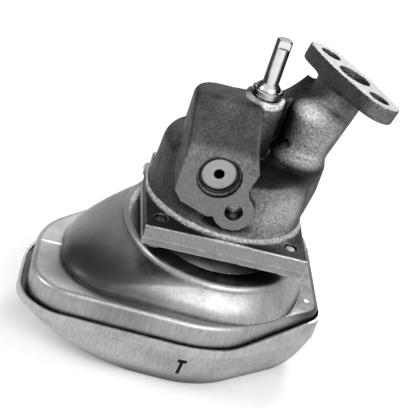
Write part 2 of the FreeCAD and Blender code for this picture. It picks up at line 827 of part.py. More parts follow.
def shaft_collar(doc):
    """Hardened thrust collar pressed on the shaft above the boss."""
    seat = "boss_top + collar_gap"
    return turned(doc, "shaft_collar", [
        ("shaft_radius", seat),
        ("collar_radius - 0.6", seat),
        ("collar_radius", f"{seat} + 0.6"),
        ("collar_radius", f"{seat} + collar_height - 0.8"),
        ("collar_radius - 0.8", f"{seat} + collar_height"),
        ("shaft_radius", f"{seat} + collar_height"),
    ], z="-spindle_foot")


def bush(doc, name, floor):
    """Bronze bush pressed into the boss, with a running fit on the shaft."""
    bore = "shaft_radius + shaft_fit"
    return turned(doc, name, [
        (bore, f"{floor} + 0.5"),
        (f"{bore} + 0.5", floor),
        ("bush_radius", floor),
        ("bush_radius", f"{floor} + bush_length"),
        (f"{bore} + 0.5", f"{floor} + bush_length"),
        (bore, f"{floor} + bush_length - 0.5"),
    ], z="-spindle_foot")


def rotor_pin(doc):
    """Cross pin that drives the inner rotor from the shaft."""
    return cylinder(doc, "rotor_pin", "pin_radius", "pin_length", y="-pin_length / 2",
                    z="rotor_height / 2 - body_flange - spindle_foot", turn=ALONG_Y)


def inner_rotor(doc, size):
    """Four-lobed inner rotor, its flanks drawn by the rolling of the outer rotor's lobes."""
    count = 5
    offset = size["eccentricity"]
    circle = size["lobe_circle"]
    lobe = size["lobe_radius"] + size["lobe_gap"]
    ratio = circle / (offset * count)
    floor = size["rotor_end_gap"] - size["body_flange"] - size["spindle_foot"]
    steps = 120
    flank = []
    for step in range(steps):
        turn = 2 * math.pi * step / steps
        tilt = math.atan2(math.sin((1 - count) * turn), ratio - math.cos((1 - count) * turn))
        x = circle * math.cos(turn) - lobe * math.cos(turn + tilt) - offset * math.cos(count * turn)
        y = -circle * math.sin(turn) + lobe * math.sin(turn + tilt) + offset * math.sin(count * turn)
        flank.append(Vector(x, y, floor))
    curve = Part.BSplineCurve()
    curve.interpolate(flank, PeriodicFlag=True)
    height = size["rotor_height"] - 2 * size["rotor_end_gap"]
    solid = Part.Face(Part.Wire(curve.toShape())).extrude(Vector(0, 0, height))
    solid = solid.cut(Part.makeCylinder(size["shaft_radius"], height, Vector(0, 0, floor)))
    pin_height = size["rotor_height"] / 2 - size["body_flange"] - size["spindle_foot"]
    start = Vector(0, -size["pin_length"] / 2, pin_height)
    solid = solid.cut(Part.makeCylinder(size["pin_radius"], size["pin_length"], start, Vector(0, 1, 0)))
    return shaped(doc, "inner_rotor", solid)


def outer_rotor(doc, size):
    """Ring with five round inner lobes that the inner rotor rolls in."""
    centre = Vector(-size["eccentricity"], 0, 0)
    floor = size["rotor_end_gap"] - size["body_flange"] - size["spindle_foot"]
    height = size["rotor_height"] - 2 * size["rotor_end_gap"]
    root = size["lobe_circle"] - size["lobe_radius"] + 2 * size["eccentricity"] + 2 * size["lobe_gap"]
    base = centre + Vector(0, 0, floor)
    ring = Part.makeCylinder(size["rotor_radius"] - size["rotor_side_gap"], height, base)
    hollow = Part.makeCylinder(root, height, base)
    for number in range(5):
        turn = 2 * math.pi * number / 5
        arm = Vector(math.cos(turn), math.sin(turn), 0) * size["lobe_circle"]
        hollow = hollow.cut(Part.makeCylinder(size["lobe_radius"], height, base + arm))
    return shaped(doc, "outer_rotor", ring.cut(hollow))


def laid_over(item, x, depth, height):
    """Lay a turned piece over so that its axis runs into the relief bore."""
    item.Placement = Placement(Vector(), ALONG_Y)
    place(item, x, depth, height)
    return item


def in_relief_bore(doc, name, profile, depth):
    """Turned piece on the relief valve's axis; depth is measured in from the machined face."""
    body = turned(doc, name, profile)
    return laid_over(body, "-relief_x", f"-block_face + {depth}", "relief_height - spindle_foot")


CAP_FACE = "relief_mouth_depth + 2 * ring_wire"
PLUNGER_REST = "block_face - relief_bore_end - plunger_seat - plunger_length"


def wire_ring(doc, name, wire):
    """Ring of round section just inside the mouth of the relief bore, bedded in its wall."""
    ring = doc.addObject("Part::Torus", name)
    set_sizes(ring, Radius1="cap_radius", Radius2=wire)
    return laid_over(ring, "-relief_x", "-block_face + relief_mouth_depth + ring_wire",
                     "relief_height - spindle_foot")


def relief_cap(doc):
    """Turned cap that closes the relief bore, with a vent hole in its middle."""
    return in_relief_bore(doc, "relief_cap", [
        ("cap_vent", "0"),
        ("cap_radius - edge_break", "0"),
        ("cap_radius", "edge_break"),
        ("cap_radius", "cap_thickness + cap_skirt"),
        ("relief_bore - edge_break", "cap_thickness + cap_skirt"),
        ("relief_bore - edge_break", "cap_thickness"),
        ("cap_vent", "cap_thickness"),
    ], CAP_FACE)


def retaining_ring(doc):
    """Round-wire ring that springs into a groove of the relief bore and holds the cap."""
    return wire_ring(doc, "retaining_ring", "ring_wire")


def relief_plunger(doc):
    """Hollow relief plunger, its closed end towards the pump's outlet side."""
    outer = "relief_bore - plunger_fit"
    return in_relief_bore(doc, "relief_plunger", [
        (outer, "0"),
        (outer, "plunger_length - 1"),
        (f"{outer} - 1", "plunger_length"),
        ("0", "plunger_length"),
        ("0", "plunger_length - plunger_wall"),
        (f"{outer} - plunger_wall", "plunger_length - plunger_wall"),
        (f"{outer} - plunger_wall", "0"),
    ], PLUNGER_REST)


def relief_spring(doc, size):
    """Coil spring between the cap and the plunger, at its rest length."""
    wire = size["spring_wire"]
    cap_floor = size["relief_mouth_depth"] + 2 * size["ring_wire"] + size["cap_thickness"]
    plunger_mouth = (size["block_face"] - size["relief_bore_end"] - size["plunger_seat"]
                     - size["plunger_length"])
    seat = plunger_mouth + size["plunger_length"] - size["plunger_wall"]
    length = seat - cap_floor - 2 * wire - 0.1
    helix = Part.makeHelix(length / size["spring_turns"], length, size["spring_radius"])
    start = Vector(size["spring_radius"], 0, 0)
    section = Part.Wire(Part.makeCircle(wire, start, Vector(0, 1, 0)))
    coil = Part.Wire(helix).makePipeShell([section], True, True)
    coil.Placement = Placement(Vector(-size["relief_x"], cap_floor + wire + 0.05 - size["block_face"],
                                      size["relief_height"] - size["spindle_foot"]), ALONG_Y)
    return shaped(doc, "relief_spring", coil)


def suction_sleeve(doc):
    """Flanged sleeve that joins the pickup hood to the cover round the suction hole."""
    top = "-body_flange"
    seat = "-body_flange - cover_thickness - gasket_thickness - sheet"
    outer = "sleeve_bore + sleeve_wall"
    return turned(doc, "suction_sleeve", [
        ("sleeve_bore", top),
        (outer, top),
        (outer, seat),
        (f"{outer} + sleeve_lip", seat),
        (f"{outer} + sleeve_lip", f"{seat} - sleeve_wall"),
        ("sleeve_bore", f"{seat} - sleeve_wall"),
    ], x="-suction_x", y="-suction_y", z="-spindle_foot")


def hood_gasket(doc):
    """Paper gasket between the cover and the crown of the pickup hood."""
    top = "-body_flange - cover_thickness"
    disc = cylinder(doc, "gasket_blank", "crown_radius - 1", "gasket_thickness",
                    x="-lip_x", y="-lip_y", z=f"{top} - gasket_thickness - spindle_foot")
    hole = cylinder(doc, "gasket_hole", "sleeve_bore + sleeve_wall", "gasket_thickness + 2",
                    x="-suction_x", y="-suction_y", z=f"{top} - gasket_thickness - spindle_foot - 1")
    return cut_away(doc, "hood_gasket", disc, [hole])


CORNERS = ["front_left", "front", "front_right", "back_right", "back", "left"]


def rim_corners(size):
    """Corners of the six-sided plan of the pickup's flange, in front and on the right set from the bell."""
    front = -size["lip_y"] - size["bell_radius"]
    right = -size["lip_x"] + size["bell_radius"]
    return [
        Vector(size["rim_front_left_x"], front - size["rim_front_left_out"], 0),
        Vector(size["rim_front_x"], front - size["rim_front_out"], 0),
        Vector(right + size["rim_front_right_out"], front + size["rim_front_right_back"], 0),
        Vector(right + size["rim_back_right_out"], size["rim_back_right_y"], 0),
        Vector(size["rim_back_x"], size["rim_back_y"], 0),
        Vector(size["rim_left_x"], size["rim_left_y"], 0),
    ]


def side_normals(corners):
    """Outward normal of each side, from one corner to the next."""
    normals = []
    for start, end in zip(corners, corners[1:] + corners[:1]):
        along = (end - start).normalize()
        normals.append(Vector(along.y, -along.x, 0))
    return normals


def corners_from(normals, distances):
    """Corners where neighbouring sides meet, each side at its distance from the origin."""
    corners = []
    count = len(normals)
    for number in range(count):
        before, after = normals[number - 1], normals[number]
        near, far = distances[number - 1], distances[number]
        area = before.x * after.y - before.y * after.x
        x = (near * after.y - far * before.y) / area
        y = (far * before.x - near * after.x) / area
        corners.append(Vector(x, y, 0))
    return corners


class Outline:
    """Six-sided plan with rounded corners, kept as side distances and corner radii."""

    def __init__(self, normals, distances, radii):
        self.normals = normals
        self.distances = distances
        self.radii = radii

    def inset(self, amounts):
        """Same plan with each side moved in, by one amount or by one for each side."""
        if not isinstance(amounts, list):
            amounts = [amounts] * len(self.normals)
        distances = [far - amount for far, amount in zip(self.distances, amounts)]
        count = len(amounts)
        mean = [(amounts[number - 1] + amounts[number]) / 2 for number in range(count)]
        radii = [max(radius - amount, 3.0) for radius, amount in zip(self.radii, mean)]
        return Outline(self.normals, distances, radii)

    def blend(self, other, share):
        """Plan between this one and another, share 1 being this one."""
        distances = [a * share + b * (1 - share) for a, b in zip(self.distances, other.distances)]
        radii = [a * share + b * (1 - share) for a, b in zip(self.radii, other.radii)]
        return Outline(self.normals, distances, radii)

    def wire(self, height):
        """Closed wire of straight sides and round corners at a height."""
        corners = corners_from(self.normals, self.distances)
        count = len(corners)
        starts, middles, ends = [], [], []
        for number, corner in enumerate(corners):
            before, after = self.normals[number - 1], self.normals[number]
            half = before.getAngle(after) / 2
            radius = self.radii[number]
            reach = radius * math.tan(half)
            back = Vector(-before.y, before.x, 0)
            ahead = Vector(-after.y, after.x, 0)
            towards = (before + after).normalize()
            centre = corner - towards * (radius / math.cos(half))
            starts.append(corner - back * reach)
            middles.append(centre + towards * radius)
            ends.append(corner + ahead * reach)
        lift = Vector(0, 0, height)
        edges = []
        for number in range(count):
            arc = Part.Arc(starts[number] + lift, middles[number] + lift, ends[number] + lift)
            edges.append(arc.toShape())
            edges.append(Part.makeLine(ends[number] + lift, starts[(number + 1) % count] + lift))
        return Part.Wire(edges)

    def prism(self, floor, top):
        """Straight-walled solid on this plan."""
        return Part.Face(self.wire(floor)).extrude(Vector(0, 0, top - floor))


def rim_outline(size):
    """Plan of the hood's flange and skirt."""
    corners = rim_corners(size)
    normals = side_normals(corners)
    distances = [normal.dot(corner) for normal, corner in zip(normals, corners)]
    return Outline(normals, distances, [size[f"rim_{name}_round"] for name in CORNERS])


def foot_outline(size):
    """Plan of the bell's foot: round the lip in front and on the right, inside the flange elsewhere."""
    rim = rim_outline(size)
    centre = Vector(-size["lip_x"], -size["lip_y"], 0)
    reach = [size["bell_radius"], size["bell_radius"], size["bell_side"]]
    round_sides = [normal.dot(centre) + radius for normal, radius in zip(rim.normals, reach)]
    back, left = size["inset_back"], size["inset_left"]
    flat_sides = [rim.distances[3] - back, rim.distances[4] - back, rim.distances[5] - left]
    near, far = size["bell_round_left"], size["bell_round_back"]
    front, right = size["bell_round_front"], size["bell_round_right"]
    radii = [near, front, right, far, far, far]
    return Outline(rim.normals, round_sides + flat_sides, radii)


def lip_outline(size):
    """Round plan of the bell's upper lip, with sides to match the flange."""
    normals = rim_outline(size).normals
    centre = Vector(-size["lip_x"], -size["lip_y"], 0)
    distances = [normal.dot(centre) + size["lip_radius"] for normal in normals]
    return Outline(normals, distances, [size["lip_radius"] * 0.985] * len(normals))


def bell(size, sheet):
    """Bell of the hood: a full curve from its foot up to its round lip, moved in by a sheet."""
    foot = foot_outline(size)
    lip = lip_outline(size).inset(size["lip_step"])
    low, high = -size["hood_foot"], -size["lip_drop"] - size["lip_round"]
    last = math.radians(size["bell_sweep"])
    steps = 4
    wires = []
    for step in range(steps + 1):
        turn = last * step / steps
        share = (math.cos(turn) - math.cos(last)) / (1 - math.cos(last))
        rise = math.sin(turn) / math.sin(last)
        height = low + (high - low) * rise - sheet - size["spindle_foot"]
        wire = foot.blend(lip, share).inset(sheet).wire(height)
        wires.append(tilted(size, wire, height, rise))
    return Part.makeLoft(wires, True, False)


def tilted(size, shape, height, share):
    """Shape turned about the lip's front edge at a height, by a share of the lip's tilt."""
    hinge = Vector(0, -size["lip_y"] - size["lip_radius"], height)
    turned = shape.copy()
    turned.rotate(hinge, Vector(1, 0, 0), size["lip_tilt"] * share)
    return turned


def lip_disc(size, sheet):
    """Round lip on top of the bell, its upper edge rolled over."""
    top = -size["lip_drop"] - sheet - size["spindle_foot"]
    depth = size["lip_round"] + size["lip_step"]
    foot = Vector(-size["lip_x"], -size["lip_y"], top - depth)
    disc = Part.makeCylinder(size["lip_radius"] - sheet, depth, foot)
    return tilted(size, rounded(disc, size["lip_round"] - sheet, top), top - depth + size["lip_step"], 1)


def crown(size, sheet):
    """Raised round crown on top of the bell, which seats under the cover."""
    lip = size["lip_drop"] + size["spindle_foot"] + sheet
    seat = size["body_flange"] + size["cover_thickness"] + size["gasket_thickness"] + size["spindle_foot"]
    top = -seat - sheet
    foot = Vector(-size["lip_x"], -size["lip_y"], -lip - 0.5)
    low = size["crown_radius"] + size["crown_flare"] - sheet
    high = size["crown_radius"] - sheet
    return Part.makeCone(low, high, top + lip + 0.5, foot)


def rounded(solid, radius, height):
    """Solid with the edges at one height rounded."""
    edges = [edge for edge in solid.Edges
             if abs(edge.BoundBox.ZMin - height) < 1e-3 and abs(edge.BoundBox.ZMax - height) < 1e-3]
    return solid.makeFillet(radius, edges)


def dimples(size, sheet):
    """Pockets pressed in the bell under the two back cover screws, grown by a sheet."""
    half = size["screw_span"] / 2
    floor = -size["dimple_drop"] - size["spindle_foot"] - sheet
    pockets = []
    for side in (-1, 1):
        foot = Vector(side * half - size["screw_centre_x"], half - size["screw_centre_y"], floor)
        pockets.append(Part.makeCylinder(size["dimple_radius"] + sheet, size["dimple_drop"], foot))
    return pockets


def pickup_hood(doc, size):
    """Deep-drawn hood: crown, round lip, bell, flange and upright skirt, in one sheet."""
    drop = size["spindle_foot"]
    sheet = size["sheet"]
    rim = rim_outline(size)
    skirt_foot = -size["skirt_foot"] - drop
    flange_top = -size["hood_foot"] - drop
    outer_skirt = rounded(rim.prism(skirt_foot, flange_top), size["flange_round"], flange_top)
    inner_skirt = rim.inset(sheet).prism(skirt_foot - 1, flange_top - sheet)
    outer = bell(size, 0).fuse([outer_skirt, lip_disc(size, 0), crown(size, 0)]).cut(dimples(size, 0))
    inner = bell(size, sheet).fuse([inner_skirt, lip_disc(size, sheet), crown(size, sheet)])
    inner = inner.cut(dimples(size, sheet))
    hole = Part.makeCylinder(size["sleeve_bore"] + size["sleeve_wall"], 20,
                             Vector(-size["suction_x"], -size["suction_y"], -drop - 25))
    return shaped(doc, "pickup_hood", outer.cut(inner).cut(hole))


def strainer_pan(doc, size):
    """Shallow drawn pan round the hood's skirt, with a ledge for the skirt and an intake below."""
    drop = size["spindle_foot"]
    sheet = size["pan_sheet"]
    rim = rim_outline(size)
    gaps = [-size["pan_gap"]] * 5 + [-size["pan_gap_left"]]
    inside = rim.inset(gaps)
    outside = inside.inset(-sheet)
    ledge_top = -size["skirt_foot"] - drop
    rim_top = ledge_top + size["rim_height"]
    floor = -size["pan_floor"] - drop
    around, behind = size["pan_inset"], size["pan_inset_back"]
    base = rim.inset([around, around, around, behind, behind, size["pan_inset_left"]])
    base.radii = [max(radius, size["pan_corner"]) for radius in base.radii]
    belly = outside.blend(base, size["pan_fullness"])
    middle = -size["pan_belly"] - drop

    def bowl(amount, lift):
        wires = [outside.inset(amount).wire(ledge_top - lift), belly.inset(amount).wire(middle),
                 base.inset(amount).wire(floor + lift)]
        return Part.makeLoft(wires, True, False)

    outer = rounded(bowl(0, 0), size["pan_round"], floor)
    high = rim_top + size["rim_raise"]
    waste = [inside.prism(ledge_top, high + OVERCUT), rim_trim(size)]
    rim_wall = outside.prism(ledge_top - sheet, high).cut(waste)
    mouth = rim.inset(size["ledge"]).prism(ledge_top - 2 * sheet, ledge_top + 1)
    intake = base.inset(size["intake_inset"]).prism(floor - 1, floor + 2 * sheet)
    cuts = [bowl(sheet, sheet), mouth, intake] + pan_slot(size)
    return shaped(doc, "strainer_pan", outer.fuse(rim_wall).cut(cuts))


def rim_trim(size):
    """Waste above the pan's rim, which stands higher at the right end."""
    low = -size["skirt_foot"] + size["rim_height"] - size["spindle_foot"]
    high = low + size["rim_raise"]
    far = size["beyond"]
    points = [(-far, low), (size["raise_start"], low), (size["raise_end"], high), (far, high),
              (far, high + far), (-far, high + far), (-far, low)]
    face = Part.Face(Part.makePolygon([Vector(x, -far, z) for x, z in points]))
    return face.extrude(Vector(0, 2 * far, 0))


def pan_slot(size):
    """Headed slot in the front wall of the pan."""
    middle = -size["slot_x"]
    top = -size["slot_top"] - size["spindle_foot"]
    cuts = []
    bars = ((size["slot_head"], size["slot_head"] / 2), (size["slot_stem"], size["slot_height"]))
    for width, height in bars:
        corner = Vector(middle - width / 2, -size["beyond"], top - height)
        cuts.append(Part.makeBox(width, size["beyond"], height, corner))
    return cuts


def screen_frame(doc, size):
    """Flat frame with three bars that stiffens the screen and lies on the pan's ledge."""
    drop = size["spindle_foot"]
    floor = -size["skirt_foot"] - drop + size["seat_play"]
    top = floor + size["frame_thickness"]
    outer = rim_outline(size).inset(size["sheet"] + size["screen_gap"])
    inner = outer.inset(size["frame_width"])
    frame = outer.prism(floor, top).cut(inner.prism(floor - 1, top + 1))
    bars = []
    for offset in (-1, 0, 1):
        middle = -size["bar_middle"] + offset * size["bar_pitch"]
        start = Vector(middle - size["bar_width"] / 2, -size["beyond"], floor)
        bars.append(Part.makeBox(size["bar_width"], 2 * size["beyond"], size["frame_thickness"], start))
    inside = outer.inset(1).prism(floor, top)
    held = [bar.common(inside) for bar in bars]
    return shaped(doc, "screen_frame", frame.fuse(held).removeSplitter())


def strainer_screen(doc, size):
    """Sheet of wire gauze on the frame, trapped inside the hood's skirt."""
    drop = size["spindle_foot"]
    floor = -size["skirt_foot"] - drop + size["seat_play"] + size["frame_thickness"]
    plan = rim_outline(size).inset(size["sheet"] + size["screen_gap"])
    return shaped(doc, "strainer_screen", plan.prism(floor, floor + size["gauze_thickness"]))


def gallery_plug(doc, size):
    """Small cup plug that closes the drilling in the foot of the outlet neck."""
    start, aim = plug_seat(size)
    cup = Part.makeCylinder(size["plug_radius"], size["plug_depth"], start, aim)
    dish = Part.makeCylinder(size["plug_radius"] - size["edge_break"], size["plug_depth"] - 1, start, aim)
    return shaped(doc, "gallery_plug", cup.cut(dish))


def plug_seat(size):
    """Face centre of the drilling in the neck, and the way in."""
    face = Vector(size["plug_x"], size["plug_y"], size["plug_height"] - size["spindle_foot"])
    aim = Vector(size["neck_x"] - size["plug_x"], size["neck_y"] - size["plug_y"], 0).normalize()
    return face, aim


def plug_boss(doc, size):
    """Short round boss on the neck round the plug."""
    start, aim = plug_seat(size)
    boss = Part.makeCylinder(size["plug_radius"] + size["plug_wall"], size["plug_boss_length"], start, aim)
    return shaped(doc, "plug_boss", boss)


def check(doc, pieces):
    """Stop with a plain message if any object failed or any piece is not a good solid."""
    for item in doc.Objects:
        if "Invalid" in item.State or "Error" in item.State:
            raise RuntimeError(f"{item.Label} did not build: {item.State}")
    for piece in pieces:
        shape = piece.Shape
        if shape.isNull() or not shape.isValid() or not shape.Solids or shape.Volume <= 0:
            raise RuntimeError(f"{piece.Label} is not a good solid")


def main():
    """Build the document, check it and write one file for each piece."""
    doc = FreeCAD.newDocument("oil_pump")
    make_sheet(doc)
    size = sizes_of(doc)
    pieces = [
        pump_body(doc, size),
        cover_plate(doc),
        cover_screws(doc),
        screw_washers(doc),
        drive_shaft(doc),
        shaft_collar(doc),
        bush(doc, "lower_bush", "lower_bush_floor"),
        bush(doc, "upper_bush", "boss_top - upper_bush_depth - bush_length"),
        rotor_pin(doc),
        inner_rotor(doc, size),
        outer_rotor(doc, size),
        relief_cap(doc),
        retaining_ring(doc),
        relief_plunger(doc),
        relief_spring(doc, size),
        gallery_plug(doc, size),
        suction_sleeve(doc),
        hood_gasket(doc),
        pickup_hood(doc, size),
        screen_frame(doc, size),
        strainer_screen(doc, size),
        strainer_pan(doc, size),
    ]
    doc.recompute()
    check(doc, pieces)
    os.makedirs("parts", exist_ok=True)
    for piece in pieces:
        piece.Shape.exportStep(f"parts/{piece.Label}.step")


main()
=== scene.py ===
"""Looks of an engine oil pump: cast iron body, ground spindle, stamped strainer hood and pan.

Lengths are in metres and angles in degrees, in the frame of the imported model: the origin is at the
foot of the drive spindle, +Z runs up the spindle and -Y is the side with the relief valve.
"""

import logging
import math
from dataclasses import dataclass
from enum import Enum
from typing import Sequence, Union

import bmesh
import bpy
import numpy as np
from mathutils import Matrix, Vector


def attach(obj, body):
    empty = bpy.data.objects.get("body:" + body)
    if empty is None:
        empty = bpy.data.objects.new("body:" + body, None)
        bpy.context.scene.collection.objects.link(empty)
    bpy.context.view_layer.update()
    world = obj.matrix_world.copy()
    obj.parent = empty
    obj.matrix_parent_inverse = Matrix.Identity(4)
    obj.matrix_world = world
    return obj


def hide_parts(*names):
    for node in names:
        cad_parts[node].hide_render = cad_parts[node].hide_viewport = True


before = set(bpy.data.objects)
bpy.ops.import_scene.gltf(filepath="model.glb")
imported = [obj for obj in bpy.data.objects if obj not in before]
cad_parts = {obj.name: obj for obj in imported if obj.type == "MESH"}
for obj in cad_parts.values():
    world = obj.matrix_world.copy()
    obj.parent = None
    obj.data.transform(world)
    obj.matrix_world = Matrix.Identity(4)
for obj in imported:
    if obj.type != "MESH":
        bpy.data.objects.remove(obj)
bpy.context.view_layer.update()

LOG = logging.getLogger("oil_pump")
IMAGE_SIDE = 416
WHITE = (1.0, 1.0, 1.0, 1.0)

Triple = tuple[float, float, float]
Colour = Triple
Socket = bpy.types.NodeSocket
Feed = Union[Socket, float, Sequence[float]]


def rgba(colour: Feed) -> Feed:
    """Colour with its alpha, where it is a plain triple.

    Args:
        colour: a triple, or a socket that carries a colour.

    Returns:
        The triple with an alpha of 1, or the socket as it was.
    """
    if isinstance(colour, tuple) and len(colour) == 3:
        return (*colour, 1.0)
    return colour


def grey(level: float, warmth: float = 0.0) -> Colour:
    """Neutral colour at a level, a little warmer or cooler."""
    return (level * (1 + warmth), level, level * (1 - warmth))


def shaded(colour: Colour, factor: float) -> Colour:
    """Colour made darker or lighter by a factor, up to full."""
    return tuple(min(1.0, level * factor) for level in colour)


class Graph:
    """Shorthand for building one node tree."""

    def __init__(self, tree: bpy.types.NodeTree) -> None:
        """Keep the tree that nodes are added to."""
        self.tree = tree

    def add(self, kind: str, settings: dict | None = None, **inputs: Feed) -> bpy.types.Node:
        """Add a node.

        Args:
            kind: the node's type, without the words ShaderNode.
            settings: properties of the node itself.
            inputs: socket names, with _ for a space, and what they hold or are linked to.

        Returns:
            The new node.
        """
        node = self.tree.nodes.new(f"ShaderNode{kind}")
        for name, value in (settings or {}).items():
            setattr(node, name, value)
        for name, value in inputs.items():
            self.feed(node.inputs[name.replace("_", " ")], value)
        return node

    def feed(self, socket: Socket, value: Feed) -> None:
        """Link an output to a socket, or set the socket's own value.

        Args:
            socket: the input.
            value: an output to link, or a plain value.
        """
        if isinstance(value, bpy.types.NodeSocket):
            self.tree.links.new(value, socket)
        else:
            socket.default_value = value

    def maths(self, operation: str, *values: Feed) -> Socket:
        """Add a Math node.

        Args:
            operation: what it works out.
            values: one, two or three numbers or outputs.

        Returns:
            The socket of the result.
        """
        node = self.add("Math", {"operation": operation})
        for number, value in enumerate(values):
            self.feed(node.inputs[number], value)
        return node.outputs[0]

    def plus(self, first: Feed, second: Feed) -> Socket:
        """Sum of two values."""
        return self.maths("ADD", first, second)

    def less(self, first: Feed, second: Feed) -> Socket:
        """One value less another."""
        return self.maths("SUBTRACT", first, second)

    def times(self, first: Feed, second: Feed) -> Socket:
        """Product of two values."""
        return self.maths("MULTIPLY", first, second)

    def vector(self, operation: str, *values: Feed, out: str = "Vector") -> Socket:
        """Add a Vector Math node.

        Args:
            operation: what it works out.
            values: one or two vectors or outputs.
            out: name of the output to read.

        Returns:
            The socket of the result.
        """
        node = self.add("VectorMath", {"operation": operation})
        for number, value in enumerate(values):
            self.feed(node.inputs[number], value)
        return node.outputs[out]

    def dot(self, first: Feed, second: Feed) -> Socket:
        """Dot product of two vectors."""
        return self.vector("DOT_PRODUCT", first, second, out="Value")

    def length(self, arm: Feed) -> Socket:
        """Length of a vector."""
        return self.vector("LENGTH", arm, out="Value")

    def ramp(self, value: Socket, low: Feed, high: Feed, to_low: Feed = 0.0, to_high: Feed = 1.0) -> Socket:
        """Move a value smoothly from one range to another and hold it there.

        Args:
            value: the socket to read.
            low: input at which the result is to_low.
            high: input at which the result is to_high.
            to_low: lowest result.
            to_high: highest result.

        Returns:
            The socket of the result.
        """
        node = self.add("MapRange", {"interpolation_type": "SMOOTHSTEP"}, Value=value, From_Min=low,
                        From_Max=high, To_Min=to_low, To_Max=to_high)
        return node.outputs["Result"]

    def mix(self, share: Feed, first: Feed, second: Feed) -> Socket:
        """Mix two colours.

        Args:
            share: the second colour's share.
            first: the colour that is covered.
            second: the colour that is mixed in.

        Returns:
            The socket of the mixed colour.
        """
        node = self.add("Mix", {"data_type": "RGBA"})
        self.feed(node.inputs["Factor"], share)
        self.feed(node.inputs[6], rgba(first))
        self.feed(node.inputs[7], rgba(second))
        return node.outputs[2]

    def scaled(self, colour: Socket, factor: Feed) -> Socket:
        """Scale a colour.

        Args:
            colour: the colour to scale.
            factor: what it is multiplied by.

        Returns:
            The socket of the scaled colour.
        """
        node = self.add("VectorMath", {"operation": "SCALE"}, Scale=factor)
        self.feed(node.inputs[0], colour)
        return node.outputs["Vector"]

    def noise(self, where: Socket, scale: Feed, detail: float = 3.0, rough: float = 0.5) -> Socket:
        """Factor of a noise texture at a place."""
        node = self.add("TexNoise", Vector=where, Scale=scale, Detail=detail, Roughness=rough)
        return node.outputs["Fac"]

    def uneven(self, where: Socket, scale: float, reach: float) -> Socket:
        """Slow noise round zero that breaks up an even edge."""
        return self.times(self.less(self.noise(where, scale, 4.0), 0.5), reach)

    def place(self) -> Socket:
        """Place on the pump, in metres."""
        return self.add("TexCoord").outputs["Object"]

    def facing(self) -> Socket:
        """Direction that the surface looks in, in the pump's own frame."""
        return self.add("TexCoord").outputs["Normal"]


class Effect(Enum):
    """Shader node groups shared by several materials."""

    CAST_GRAIN = "cast_grain"
    EDGE_WEAR_AND_SHEEN = "edge_wear_and_sheen"
    OIL_STAIN = "oil_stain"
    TURNED_MARKS = "turned_marks"
    DRAWN_MARKS = "drawn_marks"
    MACHINED_FACE = "machined_face"
    SOFT_PATCH = "soft_patch"
    CAVITY = "cavity"
    FACING_LIGHT = "facing_light"


